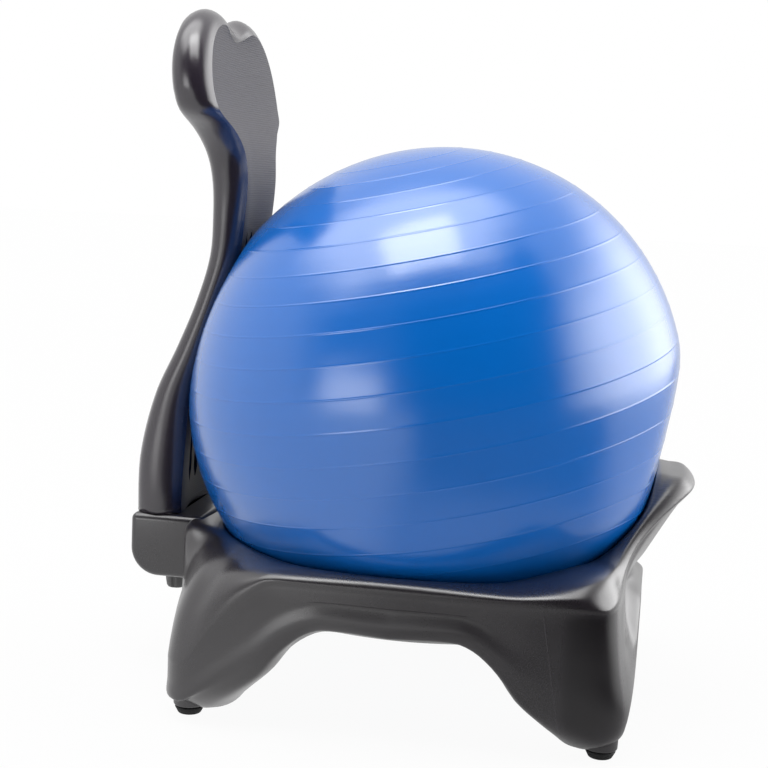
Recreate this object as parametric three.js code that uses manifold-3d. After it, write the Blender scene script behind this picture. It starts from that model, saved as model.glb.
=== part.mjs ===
// Balance ball chair: an inflated ball in a moulded cradle base, with a backrest held by two hand knobs.
// Millimetres, +Z up. The sitter faces -Y, the backrest stands at +Y and the feet rest at height zero.
import * as THREE from "three";
import { mergeVertices } from "three/addons/utils/BufferGeometryUtils.js";
import Module from "manifold-3d";

const manifoldLibrary = await Module();
manifoldLibrary.setup();

// Ball: a thin skin with shallow moulded rings round a slightly tilted axis.
const ballDiameter = 520;
const ballWall = 3;
const ballCentreHeight = 305;
const ballBulge = 4.5;
const bulgeElevation = 53;
const lipPressDepth = 18;
const lipPressElevation = -11;
const lipPressSoftness = 12;
const ringCount = 23;
const ringSpan = 150;
const ringDepth = 0.8;
const ringWidth = 3;
const ringAxisLeanSide = 11;
const ringAxisLeanFront = 6;
const ballColumns = 28;
const poleRows = 2;
const pressSoftness = 9;
const pressGap = 2;

// Valve: a hole through the skin, closed by a push-in plug.
const valveHoleDiameter = 9;
const valveAzimuth = -12;
const valveElevation = 5;
const plugHeadDiameter = 17;
const plugHeadThickness = 1.8;
const plugLength = 15;
const plugTipDiameter = 6.4;
const plugFit = 0.3;

// Cradle base: a ring that follows the ball, with a flared front lip and four corner legs.
const cradleGap = 1.3;
const cradleOpeningDiameter = 306;
const cradleEdgeThickness = 9;
const rimHeight = 162;
const rimBandDepth = 14;
const sideBand = 24;
const frontBand = -5;
const rearBand = 12;
const legFlare = 16;
const panelRecess = 6;
const planSharpness = 16;
const cornerBeyondFoot = 43;
const archHeight = 107;
const skirtThickness = 20;
const legDepth = 96;
const legInnerRise = 34;
const toeRadius = 30;
const shoulderRise = 14;
const rearRise = 5;
const ridgeAboveFoot = 58;
const edgeRadius = 6;
const lipHeight = 246;
const lipReach = 58;
const lipThickness = 24;
const lipTopWidth = 38;
const neckHeight = 138;
const neckThickness = 19;
const baseColumns = 80;
const baseRows = 28;

// How far the lip and the rear flare reach round the ring, in degrees from the middle of each.
const lipFlatAngle = 9;
const lipFadeAngle = 40;
const flareFlatAngle = 18;
const flareFadeAngle = 34;

// The rim rises towards the front and the rear between these sines of the azimuth.
const riseStart = 0.4;
const riseEnd = 0.78;
const flareReach = 14;

// Rear block, which carries the backrest.
const blockWidth = 164;
const blockTop = 169;
const blockHeight = 67;
const blockReach = 88;
const blockLowerRadius = 30;
const blockUpperRadius = 7;
const blockSideRound = 5;

// Feet: glides pushed into sleeves in the legs.
const footInset = 44;
const footInsetFront = 28;
const footHeight = 8;
const footTopDiameter = 29;
const footBottomDiameter = 24;
const footStemDiameter = 11;
const footStemLength = 24;
const sleeveWall = 2;
const sleeveLength = 34;
const sleeveFlange = 3;
const sleeveFlangeThickness = 1.6;
const legBossWall = 4;
const seatGap = 0.3;
const sleeveSides = 12;
const footSides = 16;
const bossSides = 24;

// Backrest: a moulded board with a flat front panel, two upper lobes and a slotted waist.
const backrestTop = 694;
const lobeHalfWidth = 139;
const lobeCornerRadius = 85;
const topDip = 13;
const bevelWidth = 15;
const footDepth = 49;
const backrestSweep = 56;
const frontHollow = 6;
const rearCrown = 2;
const slotCount = 3;
const slotPitch = 25;
const slotWidth = 12;
const slotDepth = 13;
const slotAboveFoot = 28;
const slotLength = 270;
const backrestRows = 22;
const cornerRows = 7;
const backrestColumns = 8;
const footFrontFromRim = 38;

// Hand knobs, their studs, washers and the inserts in the foot of the backrest.
const knobSpacing = 64;
const knobDiameter = 26;
const knobTipDiameter = 21;
const knobHeight = 20;
const knobFlutes = 6;
const knobFluteRadius = 2.6;
const studDiameter = 8;
const studFit = 0.4;
const studDepthInKnob = 14;
const studAboveBlock = 24;
const washerDiameter = 24;
const washerThickness = 1.6;
const insertDiameter = 13;
const insertLength = 26;
const boltFromFootFront = 13;
const cutOverrun = 5;

// Lengths that follow from the ones above.
const ballRadius = ballDiameter / 2;
const cradleRadius = ballRadius + cradleGap;
const cradleOpeningRadius = cradleOpeningDiameter / 2;
const rimInnerRadius = cradleRadiusAt(rimHeight);
const baseHalfWidth = rimInnerRadius + sideBand;
const frontHalfDepth = rimInnerRadius + frontBand;
const rearHalfDepth = rimInnerRadius + rearBand;
const lowHalfWidth = baseHalfWidth - panelRecess;
const lowHalfDepth = frontHalfDepth + legFlare;
const footX = baseHalfWidth - footInset - panelRecess;
const footY = lowHalfDepth - footInsetFront;
const cornerReach = Math.hypot(footX, footY) + cornerBeyondFoot;
const legBottom = footHeight + seatGap;
const neckRadius = cradleRadiusAt(neckHeight) + neckThickness;
const blockRear = rimInnerRadius + blockReach;
const blockBottom = blockTop - blockHeight;
const backrestBottom = blockTop + seatGap;
const footFront = rimInnerRadius + footFrontFromRim;
const backrestHeight = backrestTop - backrestBottom;
const lobeCornerHeight = backrestTop - lobeCornerRadius;
const boltY = footFront + boltFromFootFront;
const frontTip = rimInnerRadius + lipReach;
const centreShift = (frontTip - blockRear) / 2;

// The backrest seen from the side: share of its height, then shares of its sweep for the front line
// (measured forward from the front of its foot) and of its foot depth for its thickness.
const backrestLineShares = [
  [0, 0, 1],
  [0.12, 0.02, 1.01],
  [0.24, 0.1, 0.82],
  [0.34, 0.4, 0.7],
  [0.43, 0.67, 0.63],
  [0.52, 0.93, 0.66],
  [0.6, 1.02, 0.72],
  [0.68, 1.06, 0.81],
  [0.75, 0.98, 0.9],
  [0.82, 0.76, 0.88],
  [0.9, 0.63, 0.86],
  [1, 0.5, 0.76],
];
// The backrest seen from the front: share of its height, then share of the lobe's half-width.
const backrestWidthShares = [
  [0, 0.575],
  [0.05, 0.575],
  [0.2, 0.535],
  [0.4, 0.51],
  [0.58, 0.51],
  [0.67, 0.52],
  [0.727, 0.56],
  [0.768, 0.72],
  [0.8, 0.95],
  [0.835, 1],
];
// The board's edge from the front panel round to the rear: share of the bevel, then of the thickness.
const edgeShares = [
  [1, 0],
  [0.52, 0.09],
  [0.17, 0.25],
  [0, 0.46],
  [0.12, 0.68],
  [0.45, 0.87],
  [1, 0.97],
];
// Places up the cradle's surface, from its lower edge to its crest.
const cradleShares = [0, 0.25, 0.5, 0.75, 1];
// Places of the points of the base's section. The slope falls from the crest to the shoulder or, where the
// ridge drops round a rear leg, to the ridge: each point is a share of the way out and of the way down.
const sectionShares = {
  crownOut: 0.3,
  crownDown: 0.07,
  slopeOut: 0.78,
  ridgeSlopeOut: 0.64,
  slopeDown: 0.25,
  ridgeBrinkOut: 0.88,
  brinkDown: 0.6,
  faceMiddle: 0.5,
  legFaceOut: 0.4,
  toeSide: 0.22,
  toeOut: 0.55,
  lipTopInner: 0.6,
  lipUnder: 0.4,
  neckRise: 0.25,
};
// Shares of the ball's radius above its centre: it is round below the first and bulges above the second.
const bulgeFadeShares = [-0.35, 0.1];
// The lip can press only what faces it by more than this share.
const pressFacingShare = 0.5;
// The lower edge between two legs: place from the middle of a side to the foot, then share of the drop.
const archDropShares = [
  [0, 0.02],
  [0.32, 0],
  [0.41, 0.06],
  [0.485, 0.17],
  [0.55, 0.3],
  [0.64, 0.52],
  [0.79, 0.74],
  [0.92, 0.9],
  [1, 1],
];

// The ridge round a rear leg: place from the middle of the side to the foot, then share of its drop.
const ridgeDropShares = [
  [0.5, 0],
  [0.56, 0.06],
  [0.636, 0.26],
  [0.75, 0.51],
  [0.82, 0.66],
  [0.888, 0.8],
  [0.94, 0.92],
  [1, 1],
];

const plasticLook = { color: 0x4f4b4f, roughness: 0.42, metalness: 0 };
const panelLook = { color: 0x5a5a5f, roughness: 0.62, metalness: 0 };
const ballLook = { color: 0x1f6fd0, roughness: 0.34, metalness: 0 };
const rubberLook = { color: 0x1d1d1e, roughness: 0.8, metalness: 0 };
const knobLook = { color: 0x26262a, roughness: 0.5, metalness: 0 };
const steelLook = { color: 0xb4b6ba, roughness: 0.35, metalness: 0.9 };
const plugLook = { color: 0xe8e8e6, roughness: 0.45, metalness: 0 };

// Small mathematics shared by the parts.
const mix = THREE.MathUtils.lerp;
const radians = THREE.MathUtils.degToRad;

// A smooth curve through [place, value, ...] rows, read at one place for one column of values.
function readCurve(rows, place, column = 1) {
  const last = rows.length - 1;
  if (place <= rows[0][0]) return rows[0][column];
  if (place >= rows[last][0]) return rows[last][column];
  const index = rows.findIndex((row) => row[0] > place) - 1;
  const slopeAt = (i) => {
    const before = rows[Math.max(i - 1, 0)];
    const after = rows[Math.min(i + 1, last)];
    return (after[column] - before[column]) / (after[0] - before[0]);
  };
  const span = rows[index + 1][0] - rows[index][0];
  const t = (place - rows[index][0]) / span;
  const blend = 3 * t ** 2 - 2 * t ** 3;
  const leaving = t * (1 - t) ** 2 * span * slopeAt(index);
  const arriving = t ** 2 * (t - 1) * span * slopeAt(index + 1);
  return mix(rows[index][column], rows[index + 1][column], blend) + leaving + arriving;
}

// One near the middle azimuth, zero away from it, with a smooth fade between; all in degrees.
function shareNear(azimuth, middle, flat, fade) {
  const turn = THREE.MathUtils.euclideanModulo(azimuth - middle + 180, 360) - 180;
  return 1 - THREE.MathUtils.smoothstep(Math.abs(turn), flat, fade);
}

// The radius, at an azimuth in degrees, of a rounded rectangle with its corners cut across.
function planRadius(azimuth, halfWidth, halfDepth, cornerReach) {
  const x = Math.abs(Math.cos(radians(azimuth)));
  const y = Math.abs(Math.sin(radians(azimuth)));
  const cornerAngle = Math.atan2(halfDepth, halfWidth);
  const corner = (x * Math.cos(cornerAngle) + y * Math.sin(cornerAngle)) / cornerReach;
  const sum = (x / halfWidth) ** planSharpness + (y / halfDepth) ** planSharpness + corner ** planSharpness;
  return sum ** (-1 / planSharpness);
}

// The smaller of two values, eased where they meet.
function softMinimum(first, second, softness) {
  const overlap = Math.max(softness - Math.abs(first - second), 0) / softness;
  return Math.min(first, second) - (overlap ** 2 * softness) / 4;
}

// How far the ball reaches from its centre in one direction: it bulges up and forward, and the
// front lip presses it flat.
const bulgeAxis = directionAt(270, bulgeElevation);
const bulgeCross = directionAt(90, 90 - bulgeElevation);
const lipPressAxis = directionAt(270, lipPressElevation);

function directionAt(azimuth, elevation) {
  const level = Math.cos(radians(elevation));
  const x = level * Math.cos(radians(azimuth));
  const y = level * Math.sin(radians(azimuth));
  return new THREE.Vector3(x, y, Math.sin(radians(elevation)));
}

function ballReach(direction) {
  const upper = THREE.MathUtils.smoothstep(direction.z, ...bulgeFadeShares);
  const swell = direction.dot(bulgeAxis) ** 2 - direction.dot(bulgeCross) ** 2;
  const round = ballRadius + ballBulge * swell * upper;
  const facing = direction.dot(lipPressAxis);
  if (facing < pressFacingShare) return round;
  return softMinimum(round, (ballRadius - lipPressDepth) / facing, lipPressSoftness);
}

// The radius of the cradle's surface round the ball at one height.
function cradleRadiusAt(height) {
  return Math.sqrt(cradleRadius ** 2 - (ballCentreHeight - height) ** 2);
}

// The front line and thickness of the backrest at one height.
function backrestLine(height) {
  const share = (height - backrestBottom) / backrestHeight;
  const front = footFront - backrestSweep * readCurve(backrestLineShares, share, 1);
  return { front, thickness: footDepth * readCurve(backrestLineShares, share, 2) };
}

// Solids are built from points and triangles, then joined and cut.
function solidFromGeometry(geometry) {
  const bare = geometry.clone();
  bare.deleteAttribute("normal");
  bare.deleteAttribute("uv");
  const merged = mergeVertices(bare, seatGap / 1000);
  const vertProperties = new Float32Array(merged.attributes.position.array);
  const triVerts = new Uint32Array(merged.index.array);
  const solid = new manifoldLibrary.Manifold(new manifoldLibrary.Mesh({ numProp: 3, vertProperties, triVerts }));
  if (solid.volume() > 0) return solid;
  triVerts.reverse();
  return new manifoldLibrary.Manifold(new manifoldLibrary.Mesh({ numProp: 3, vertProperties, triVerts }));
}

function geometryFromSolid(solid) {
  const mesh = solid.getMesh();
  const indexed = new THREE.BufferGeometry();
  indexed.setAttribute("position", new THREE.BufferAttribute(mesh.vertProperties, mesh.numProp));
  indexed.setIndex(new THREE.BufferAttribute(mesh.triVerts, 1));
  const faceted = indexed.toNonIndexed();
  faceted.computeVertexNormals();
  return faceted;
}

// A closed surface from rows of points; each row is a ring, and rows may close on themselves or on caps.
function surfaceFromRows(rows, rowsClose) {
  const columns = rows[0].length;
  const positions = rows.flat().flatMap((point) => point.toArray());
  const triangles = [];
  const rowSteps = rowsClose ? rows.length : rows.length - 1;
  for (let row = 0; row < rowSteps; row += 1) {
    const next = (row + 1) % rows.length;
    for (let column = 0; column < columns; column += 1) {
      const beside = (column + 1) % columns;
      const here = row * columns + column;
      const right = row * columns + beside;
      const above = next * columns + column;
      const corner = next * columns + beside;
      triangles.push(here, right, corner, here, corner, above);
    }
  }
  if (!rowsClose) {
    const middleOf = (row) => row.reduce((sum, p) => sum.add(p), new THREE.Vector3()).divideScalar(columns);
    const firstMiddle = positions.length / 3;
    positions.push(...middleOf(rows[0]).toArray(), ...middleOf(rows[rows.length - 1]).toArray());
    const lastRow = (rows.length - 1) * columns;
    for (let column = 0; column < columns; column += 1) {
      const beside = (column + 1) % columns;
      triangles.push(firstMiddle, beside, column);
      triangles.push(firstMiddle + 1, lastRow + column, lastRow + beside);
    }
  }
  const geometry = new THREE.BufferGeometry();
  geometry.setAttribute("position", new THREE.Float32BufferAttribute(positions, 3));
  geometry.setIndex(triangles);
  return geometry;
}

// A turned piece about the vertical axis from (radius, height) pairs that run upward outside.
function turned(profile, segments) {
  const points = profile.map(([radius, height]) => new THREE.Vector2(radius, height));
  const geometry = new THREE.LatheGeometry(points, segments);
  geometry.rotateX(Math.PI / 2);
  return geometry;
}

// A plain vertical cutter or peg.
function upright(diameter, bottom, top, x, y, segments = 20) {
  const geometry = new THREE.CylinderGeometry(diameter / 2, diameter / 2, top - bottom, segments);
  geometry.rotateX(Math.PI / 2);
  geometry.translate(x, y, (top + bottom) / 2);
  return solidFromGeometry(geometry);
}

// Ball surface: a sphere that gives way, with a soft fold, where the backrest stands in its place.
function pressedOntoBackrest(point, inset) {
  const line = backrestLine(point.z);
  const halfWidth = lobeHalfWidth * backrestWidthShares[3][1];
  const beyond = Math.max(Math.abs(point.x) - halfWidth, 0);
  const limit = line.front - pressGap - inset + beyond ** 2 / (2 * halfWidth);
  const isBeside = point.y > 0 && point.z > ballCentreHeight - ballRadius / 2;
  if (isBeside) point.y = softMinimum(point.y, limit, pressSoftness);
  return point;
}

const ringAxis = new THREE.Vector3(
  -Math.sin(radians(ringAxisLeanFront)),
  Math.sin(radians(ringAxisLeanSide)),
  Math.cos(radians(ringAxisLeanSide)),
).normalize();

const ringTilt = new THREE.Quaternion().setFromUnitVectors(new THREE.Vector3(0, 1, 0), ringAxis);

function ballPoint(polar, turn, depth) {
  const direction = new THREE.Vector3().setFromSphericalCoords(1, polar, turn).applyQuaternion(ringTilt);
  const point = direction.clone().multiplyScalar(ballReach(direction) - depth);
  point.z += ballCentreHeight;
  return pressedOntoBackrest(point, depth);
}

function ballSkin(rows, wall) {
  const turns = Array.from({ length: ballColumns }, (_, column) => (column / ballColumns) * 2 * Math.PI);
  const points = rows.map(({ polar, depth }) => turns.map((turn) => ballPoint(polar, turn, depth + wall)));
  return surfaceFromRows(points, false);
}

// Rows of the ball from pole to pole: those that each moulded ring asks for, and a few towards the poles.
function ballRows(rowsOfRing) {
  const firstRing = radians((180 - ringSpan) / 2);
  const spacing = radians(ringSpan) / (ringCount - 1);
  const nearPole = Array.from({ length: poleRows }, (_, row) => (firstRing * (row + 1)) / (poleRows + 1));
  return [
    ...nearPole.map((polar) => ({ polar, depth: 0 })),
    ...Array.from({ length: ringCount }, (_, ring) => rowsOfRing(firstRing + spacing * ring, ring)).flat(),
    ...nearPole.reverse().map((polar) => ({ polar: Math.PI - polar, depth: 0 })),
  ];
}

const valveDirection = new THREE.Vector3(1, 0, 0)
  .applyAxisAngle(new THREE.Vector3(0, -1, 0), radians(valveElevation))
  .applyAxisAngle(new THREE.Vector3(0, 0, 1), radians(valveAzimuth));
const valveTurn = new THREE.Quaternion().setFromUnitVectors(new THREE.Vector3(0, 0, 1), valveDirection);

function atValve(geometry) {
  return geometry.applyQuaternion(valveTurn).translate(0, 0, ballCentreHeight);
}

// The skin's inner side has a row under every other ring, so that its wall stays whole where it is pressed.
function makeBall() {
  const halfRing = ringWidth / 2 / ballRadius;
  const ringedRows = ballRows((polar) => [
    { polar: polar - halfRing, depth: 0 },
    { polar, depth: ringDepth },
    { polar: polar + halfRing, depth: 0 },
  ]);
  const innerRows = ballRows((polar, ring) => (ring % 2 === 0 ? [{ polar, depth: 0 }] : []));
  const outside = solidFromGeometry(ballSkin(ringedRows, 0));
  const inside = solidFromGeometry(ballSkin(innerRows, ballWall));
  const drillLength = ballWall * 8;
  const drill = new THREE.CylinderGeometry(valveHoleDiameter / 2, valveHoleDiameter / 2, drillLength, 16);
  drill.rotateX(Math.PI / 2).translate(0, 0, ballRadius);
  return outside.subtract(inside).subtract(solidFromGeometry(atValve(drill)));
}

// The plug's head lies on the skin and its stem tapers through the hole.
function makeValvePlug() {
  const headBottom = ballRadius + plugFit;
  const stemRadius = valveHoleDiameter / 2 - plugFit;
  const profile = [
    [0, headBottom - plugLength],
    [plugTipDiameter / 2, headBottom - plugLength],
    [stemRadius, headBottom - ballWall - plugFit],
    [stemRadius, headBottom],
    [plugHeadDiameter / 2, headBottom],
    [plugHeadDiameter / 2, headBottom + plugHeadThickness / 2],
    [plugHeadDiameter / 2 - plugHeadThickness / 2, headBottom + plugHeadThickness],
    [0, headBottom + plugHeadThickness],
  ];
  return solidFromGeometry(atValve(turned(profile, 16)));
}

// The radius of the ring that runs through the middles of the four feet.
function footRingAt(azimuth) {
  return planRadius(azimuth, footX, footY, Math.hypot(footX, footY));
}

// Where an azimuth lies between the middle of a side, at 0, and a foot, at 1, and which side it is on.
function placeAt(azimuth) {
  const radius = planRadius(azimuth, lowHalfWidth, lowHalfDepth, cornerReach);
  const across = Math.abs(radius * Math.cos(radians(azimuth))) / footX;
  const along = Math.abs(radius * Math.sin(radians(azimuth))) / footY;
  return { place: Math.min(across, along), isEnd: along > across };
}

// A point of the cradle's surface, a small gap outside the ball, at an azimuth and an elevation.
function cradlePoint(azimuth, elevation) {
  const direction = directionAt(azimuth, elevation);
  const reach = ballReach(direction) + cradleGap;
  return [reach * Math.hypot(direction.x, direction.y), ballCentreHeight + reach * direction.z];
}

// The elevation, seen from the ball's centre, at which the cradle reaches a height.
function elevationOf(height) {
  return THREE.MathUtils.radToDeg(Math.asin((height - ballCentreHeight) / cradleRadius));
}

function mixPoints(first, second, share) {
  return first.map((point, index) => point.map((value, axis) => mix(value, second[index][axis], share)));
}

// The base's section at one azimuth: (radius, height) points up the cradle, over the rim, down and under.
// Round the rear legs a ridge, with the outside sloping down to it, drops from the rim to the foot.
function cradleSection(azimuth) {
  const shares = sectionShares;
  const isFront = azimuth > 180;
  const { place, isEnd } = placeAt(azimuth);
  const leg = readCurve(archDropShares, place);
  const lip = shareNear(azimuth, 270, lipFlatAngle, lipFadeAngle);
  const flare = shareNear(azimuth, 90, flareFlatAngle, flareFadeAngle);
  const slope = Math.abs(Math.sin(radians(azimuth)));
  const rise = isFront ? shoulderRise : rearRise;
  const crest = rimHeight + rise * THREE.MathUtils.smoothstep(slope, riseStart, riseEnd);
  const bottom = mix(mix(archHeight, blockBottom + edgeRadius, flare), legBottom, leg);
  const rearDrop = isEnd ? 1 - flare : readCurve(ridgeDropShares, place);
  const drop = isFront ? 0 : rearDrop;
  const ridge = mix(crest, bottom + ridgeAboveFoot, drop);
  const low = planRadius(azimuth, lowHalfWidth, lowHalfDepth, cornerReach);
  const halfDepth = isFront ? frontHalfDepth : rearHalfDepth;
  const shoulder = mix(planRadius(azimuth, baseHalfWidth, halfDepth, cornerReach), low, drop);
  const recessed = low - panelRecess / 2;
  const faceTop = isFront ? mix(recessed, shoulder, leg) : mix(recessed, low, drop ** 3);
  const faceMiddle = isFront ? mix(recessed, mix(shoulder, low, shares.legFaceOut), leg) : faceTop;
  const toeRing = mix(low - edgeRadius, footRingAt(azimuth) + toeRadius * shares.toeOut, leg ** 4);
  const push = flareReach * flare;

  const crestElevation = mix(elevationOf(crest - edgeRadius), elevationOf(lipHeight - edgeRadius / 2), lip);
  const openingElevation = -THREE.MathUtils.radToDeg(Math.acos(cradleOpeningRadius / cradleRadius));
  const cradle = cradleShares.map((share) => cradlePoint(azimuth, mix(openingElevation, crestElevation, share)));
  const crestRadius = cradle[cradle.length - 1][0];
  const slopePoint = (out, down) => [mix(crestRadius, shoulder, out), mix(crest, ridge, down)];
  const brinkOut = mix(1, shares.ridgeBrinkOut, drop);
  const rimRound = edgeRadius * (1 - drop);
  const band = mix(rimBandDepth, edgeRadius / 2, drop);

  const plain = [
    slopePoint(shares.crownOut, shares.crownDown),
    slopePoint(mix(shares.slopeOut, shares.ridgeSlopeOut, drop), shares.slopeDown),
    [mix(crestRadius, shoulder, brinkOut), mix(crest, ridge, shares.brinkDown) - rimRound],
    [shoulder, ridge - band],
    [faceTop, ridge - band - edgeRadius],
    [faceMiddle, mix(ridge, bottom, shares.faceMiddle)],
  ];
  const tip = rimInnerRadius + lipReach;
  const flared = [
    [tip - lipTopWidth * shares.lipTopInner, lipHeight],
    [tip - edgeRadius * 1.5, lipHeight - edgeRadius / 3],
    [tip, lipHeight - edgeRadius * 2],
    [tip - lipThickness * shares.lipUnder, lipHeight - lipThickness],
    [mix(neckRadius, tip, shares.neckRise), mix(neckHeight, lipHeight, shares.neckRise)],
    [neckRadius, neckHeight],
  ];
  const lower = [
    [low, mix(bottom, ridge, shares.toeSide)],
    [low - mix(edgeRadius, toeRadius, leg) / 6, bottom + mix(edgeRadius, toeRadius * shares.toeSide * 2, leg)],
    [toeRing, bottom],
    [toeRing - mix(skirtThickness / 2, toeRadius, leg), bottom + edgeRadius / 3],
    [low - mix(skirtThickness, legDepth, leg), bottom + mix(edgeRadius, legInnerRise, leg)],
  ];
  const underEdge = [
    cradleOpeningRadius + edgeRadius * 2,
    ballCentreHeight + cradleRadius * Math.sin(radians(openingElevation)) - cradleEdgeThickness,
  ];
  const outside = [...mixPoints(plain, flared, lip), ...lower];
  return [...cradle, ...outside.map(([radius, height]) => [radius + push, height]), underEdge];
}

// Points inside the ball's space are moved out to the cradle's surface.
function clearOfBall(point) {
  const centre = new THREE.Vector3(0, 0, ballCentreHeight);
  const away = point.clone().sub(centre);
  const reach = ballReach(away.clone().normalize()) + cradleGap;
  if (away.length() < reach) away.setLength(reach);
  return away.add(centre);
}

function makeCradleRing() {
  const rows = Array.from({ length: baseColumns }, (_, column) => {
    const azimuth = (360 * column) / baseColumns;
    const section = cradleSection(azimuth).map(([radius, height]) => new THREE.Vector3(radius, 0, height));
    const curve = new THREE.CatmullRomCurve3(section, true, "centripetal");
    return Array.from({ length: baseRows }, (_, row) => {
      const point = curve.getPoint(row / baseRows);
      point.applyAxisAngle(new THREE.Vector3(0, 0, 1), radians(azimuth));
      return clearOfBall(point);
    });
  });
  return solidFromGeometry(surfaceFromRows(rows, true));
}

// The rear block: its side outline with a large lower rear round, drawn out across its width.
function makeRearBlock() {
  const front = cradleRadiusAt(blockTop) + blockSideRound;
  const rear = blockRear - blockSideRound;
  const top = blockTop - blockSideRound;
  const bottom = blockBottom + blockSideRound;
  const outline = new THREE.Shape();
  outline.moveTo(front, bottom);
  outline.lineTo(rear - blockLowerRadius, bottom);
  outline.absarc(rear - blockLowerRadius, bottom + blockLowerRadius, blockLowerRadius, -Math.PI / 2, 0, false);
  outline.lineTo(rear, top - blockUpperRadius);
  outline.absarc(rear - blockUpperRadius, top - blockUpperRadius, blockUpperRadius, 0, Math.PI / 2, false);
  outline.lineTo(front, top);
  outline.closePath();
  const geometry = new THREE.ExtrudeGeometry(outline, {
    depth: blockWidth - 2 * blockSideRound,
    bevelEnabled: true,
    bevelThickness: blockSideRound,
    bevelSize: blockSideRound,
    bevelSegments: 3,
    curveSegments: 8,
  });
  geometry.translate(0, 0, -blockWidth / 2 + blockSideRound);
  geometry.applyMatrix4(new THREE.Matrix4().makeBasis(
    new THREE.Vector3(0, 1, 0),
    new THREE.Vector3(0, 0, 1),
    new THREE.Vector3(1, 0, 0),
  ));
  return solidFromGeometry(geometry);
}

const corners = [
  { name: "front_left", x: -footX, y: -footY },
  { name: "front_right", x: footX, y: -footY },
  { name: "rear_left", x: -footX, y: footY },
  { name: "rear_right", x: footX, y: footY },
];
const sleeveDiameter = footStemDiameter + 2 * (seatGap + sleeveWall);
const sleevePocketDiameter = sleeveDiameter + 2 * seatGap;
const sleeveTop = legBottom + sleeveLength;

function makeBase() {
  let base = makeCradleRing().add(makeRearBlock());
  for (const corner of corners) {
    const bossDiameter = footTopDiameter + legBossWall;
    base = base.add(upright(bossDiameter, legBottom, sleeveTop + legBossWall, corner.x, corner.y, bossSides));
  }
  base = base.trimByPlane([0, 0, 1], legBottom);
  for (const corner of corners) {
    const flangePocket = sleeveDiameter + 2 * (sleeveFlange + seatGap);
    const flangeTop = legBottom + sleeveFlangeThickness + seatGap;
    const pocketTop = sleeveTop + seatGap;
    base = base.subtract(upright(sleevePocketDiameter, legBottom - cutOverrun, pocketTop, corner.x, corner.y));
    base = base.subtract(upright(flangePocket, legBottom - cutOverrun, flangeTop, corner.x, corner.y));
  }
  for (const side of [-1, 1]) {
    const hole = studDiameter + 2 * studFit;
    const x = (side * knobSpacing) / 2;
    base = base.subtract(upright(hole, blockBottom - cutOverrun, blockTop + cutOverrun, x, boltY));
  }
  return base;
}

// A sleeve with a closed top and a flange let into the bottom of the leg.
function makeFootSleeve() {
  const outer = sleeveDiameter / 2;
  const bore = footStemDiameter / 2 + seatGap;
  const bottom = legBottom;
  const top = sleeveTop;
  return turned([
    [bore, bottom],
    [outer + sleeveFlange, bottom],
    [outer + sleeveFlange, bottom + sleeveFlangeThickness],
    [outer, bottom + sleeveFlangeThickness],
    [outer, top],
    [0, top],
    [0, top - sleeveWall],
    [bore, top - sleeveWall],
    [bore, bottom],
  ], sleeveSides);
}

// A glide: a tapered pad under the leg with a stem up into the sleeve.
function makeFoot() {
  const stem = footStemDiameter / 2;
  const round = footHeight / 4;
  return turned([
    [0, 0],
    [footBottomDiameter / 2 - round, 0],
    [footBottomDiameter / 2, round],
    [footTopDiameter / 2, footHeight - round],
    [footTopDiameter / 2, footHeight],
    [stem, footHeight],
    [stem, footHeight + footStemLength - round],
    [stem - round, footHeight + footStemLength],
    [0, footHeight + footStemLength],
  ], footSides);
}

// A point of the backrest: its row counts up the side and round the corner, across runs from -1 to 1.
function backrestPoint(row, across, inset, through) {
  const climb = Math.max(row - backrestRows, 0) / cornerRows;
  const lift = Math.sin((climb * Math.PI) / 2);
  const reach = lobeCornerRadius - inset;
  const below = mix(backrestBottom, lobeCornerHeight, Math.min(row / backrestRows, 1));
  const share = (below - backrestBottom) / backrestHeight;
  const sideHalf = lobeHalfWidth * readCurve(backrestWidthShares, share) - inset;
  const halfWidth = sideHalf - reach * (1 - Math.cos((climb * Math.PI) / 2));
  const dip = topDip * lift ** 4 * (1 - across ** 2) ** 2;
  const height = below + reach * lift - dip;
  const line = backrestLine(height);
  const isFront = through === 0;
  const hollow = isFront ? frontHollow * (1 - across ** 2) ** 2 : 0;
  const crown = through === 1 ? rearCrown * (1 - across ** 2) : 0;
  const depth = through === 1 ? edgeShares[edgeShares.length - 1][1] : through;
  return new THREE.Vector3(halfWidth * across, line.front + line.thickness * depth + hollow + crown, height);
}

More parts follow.
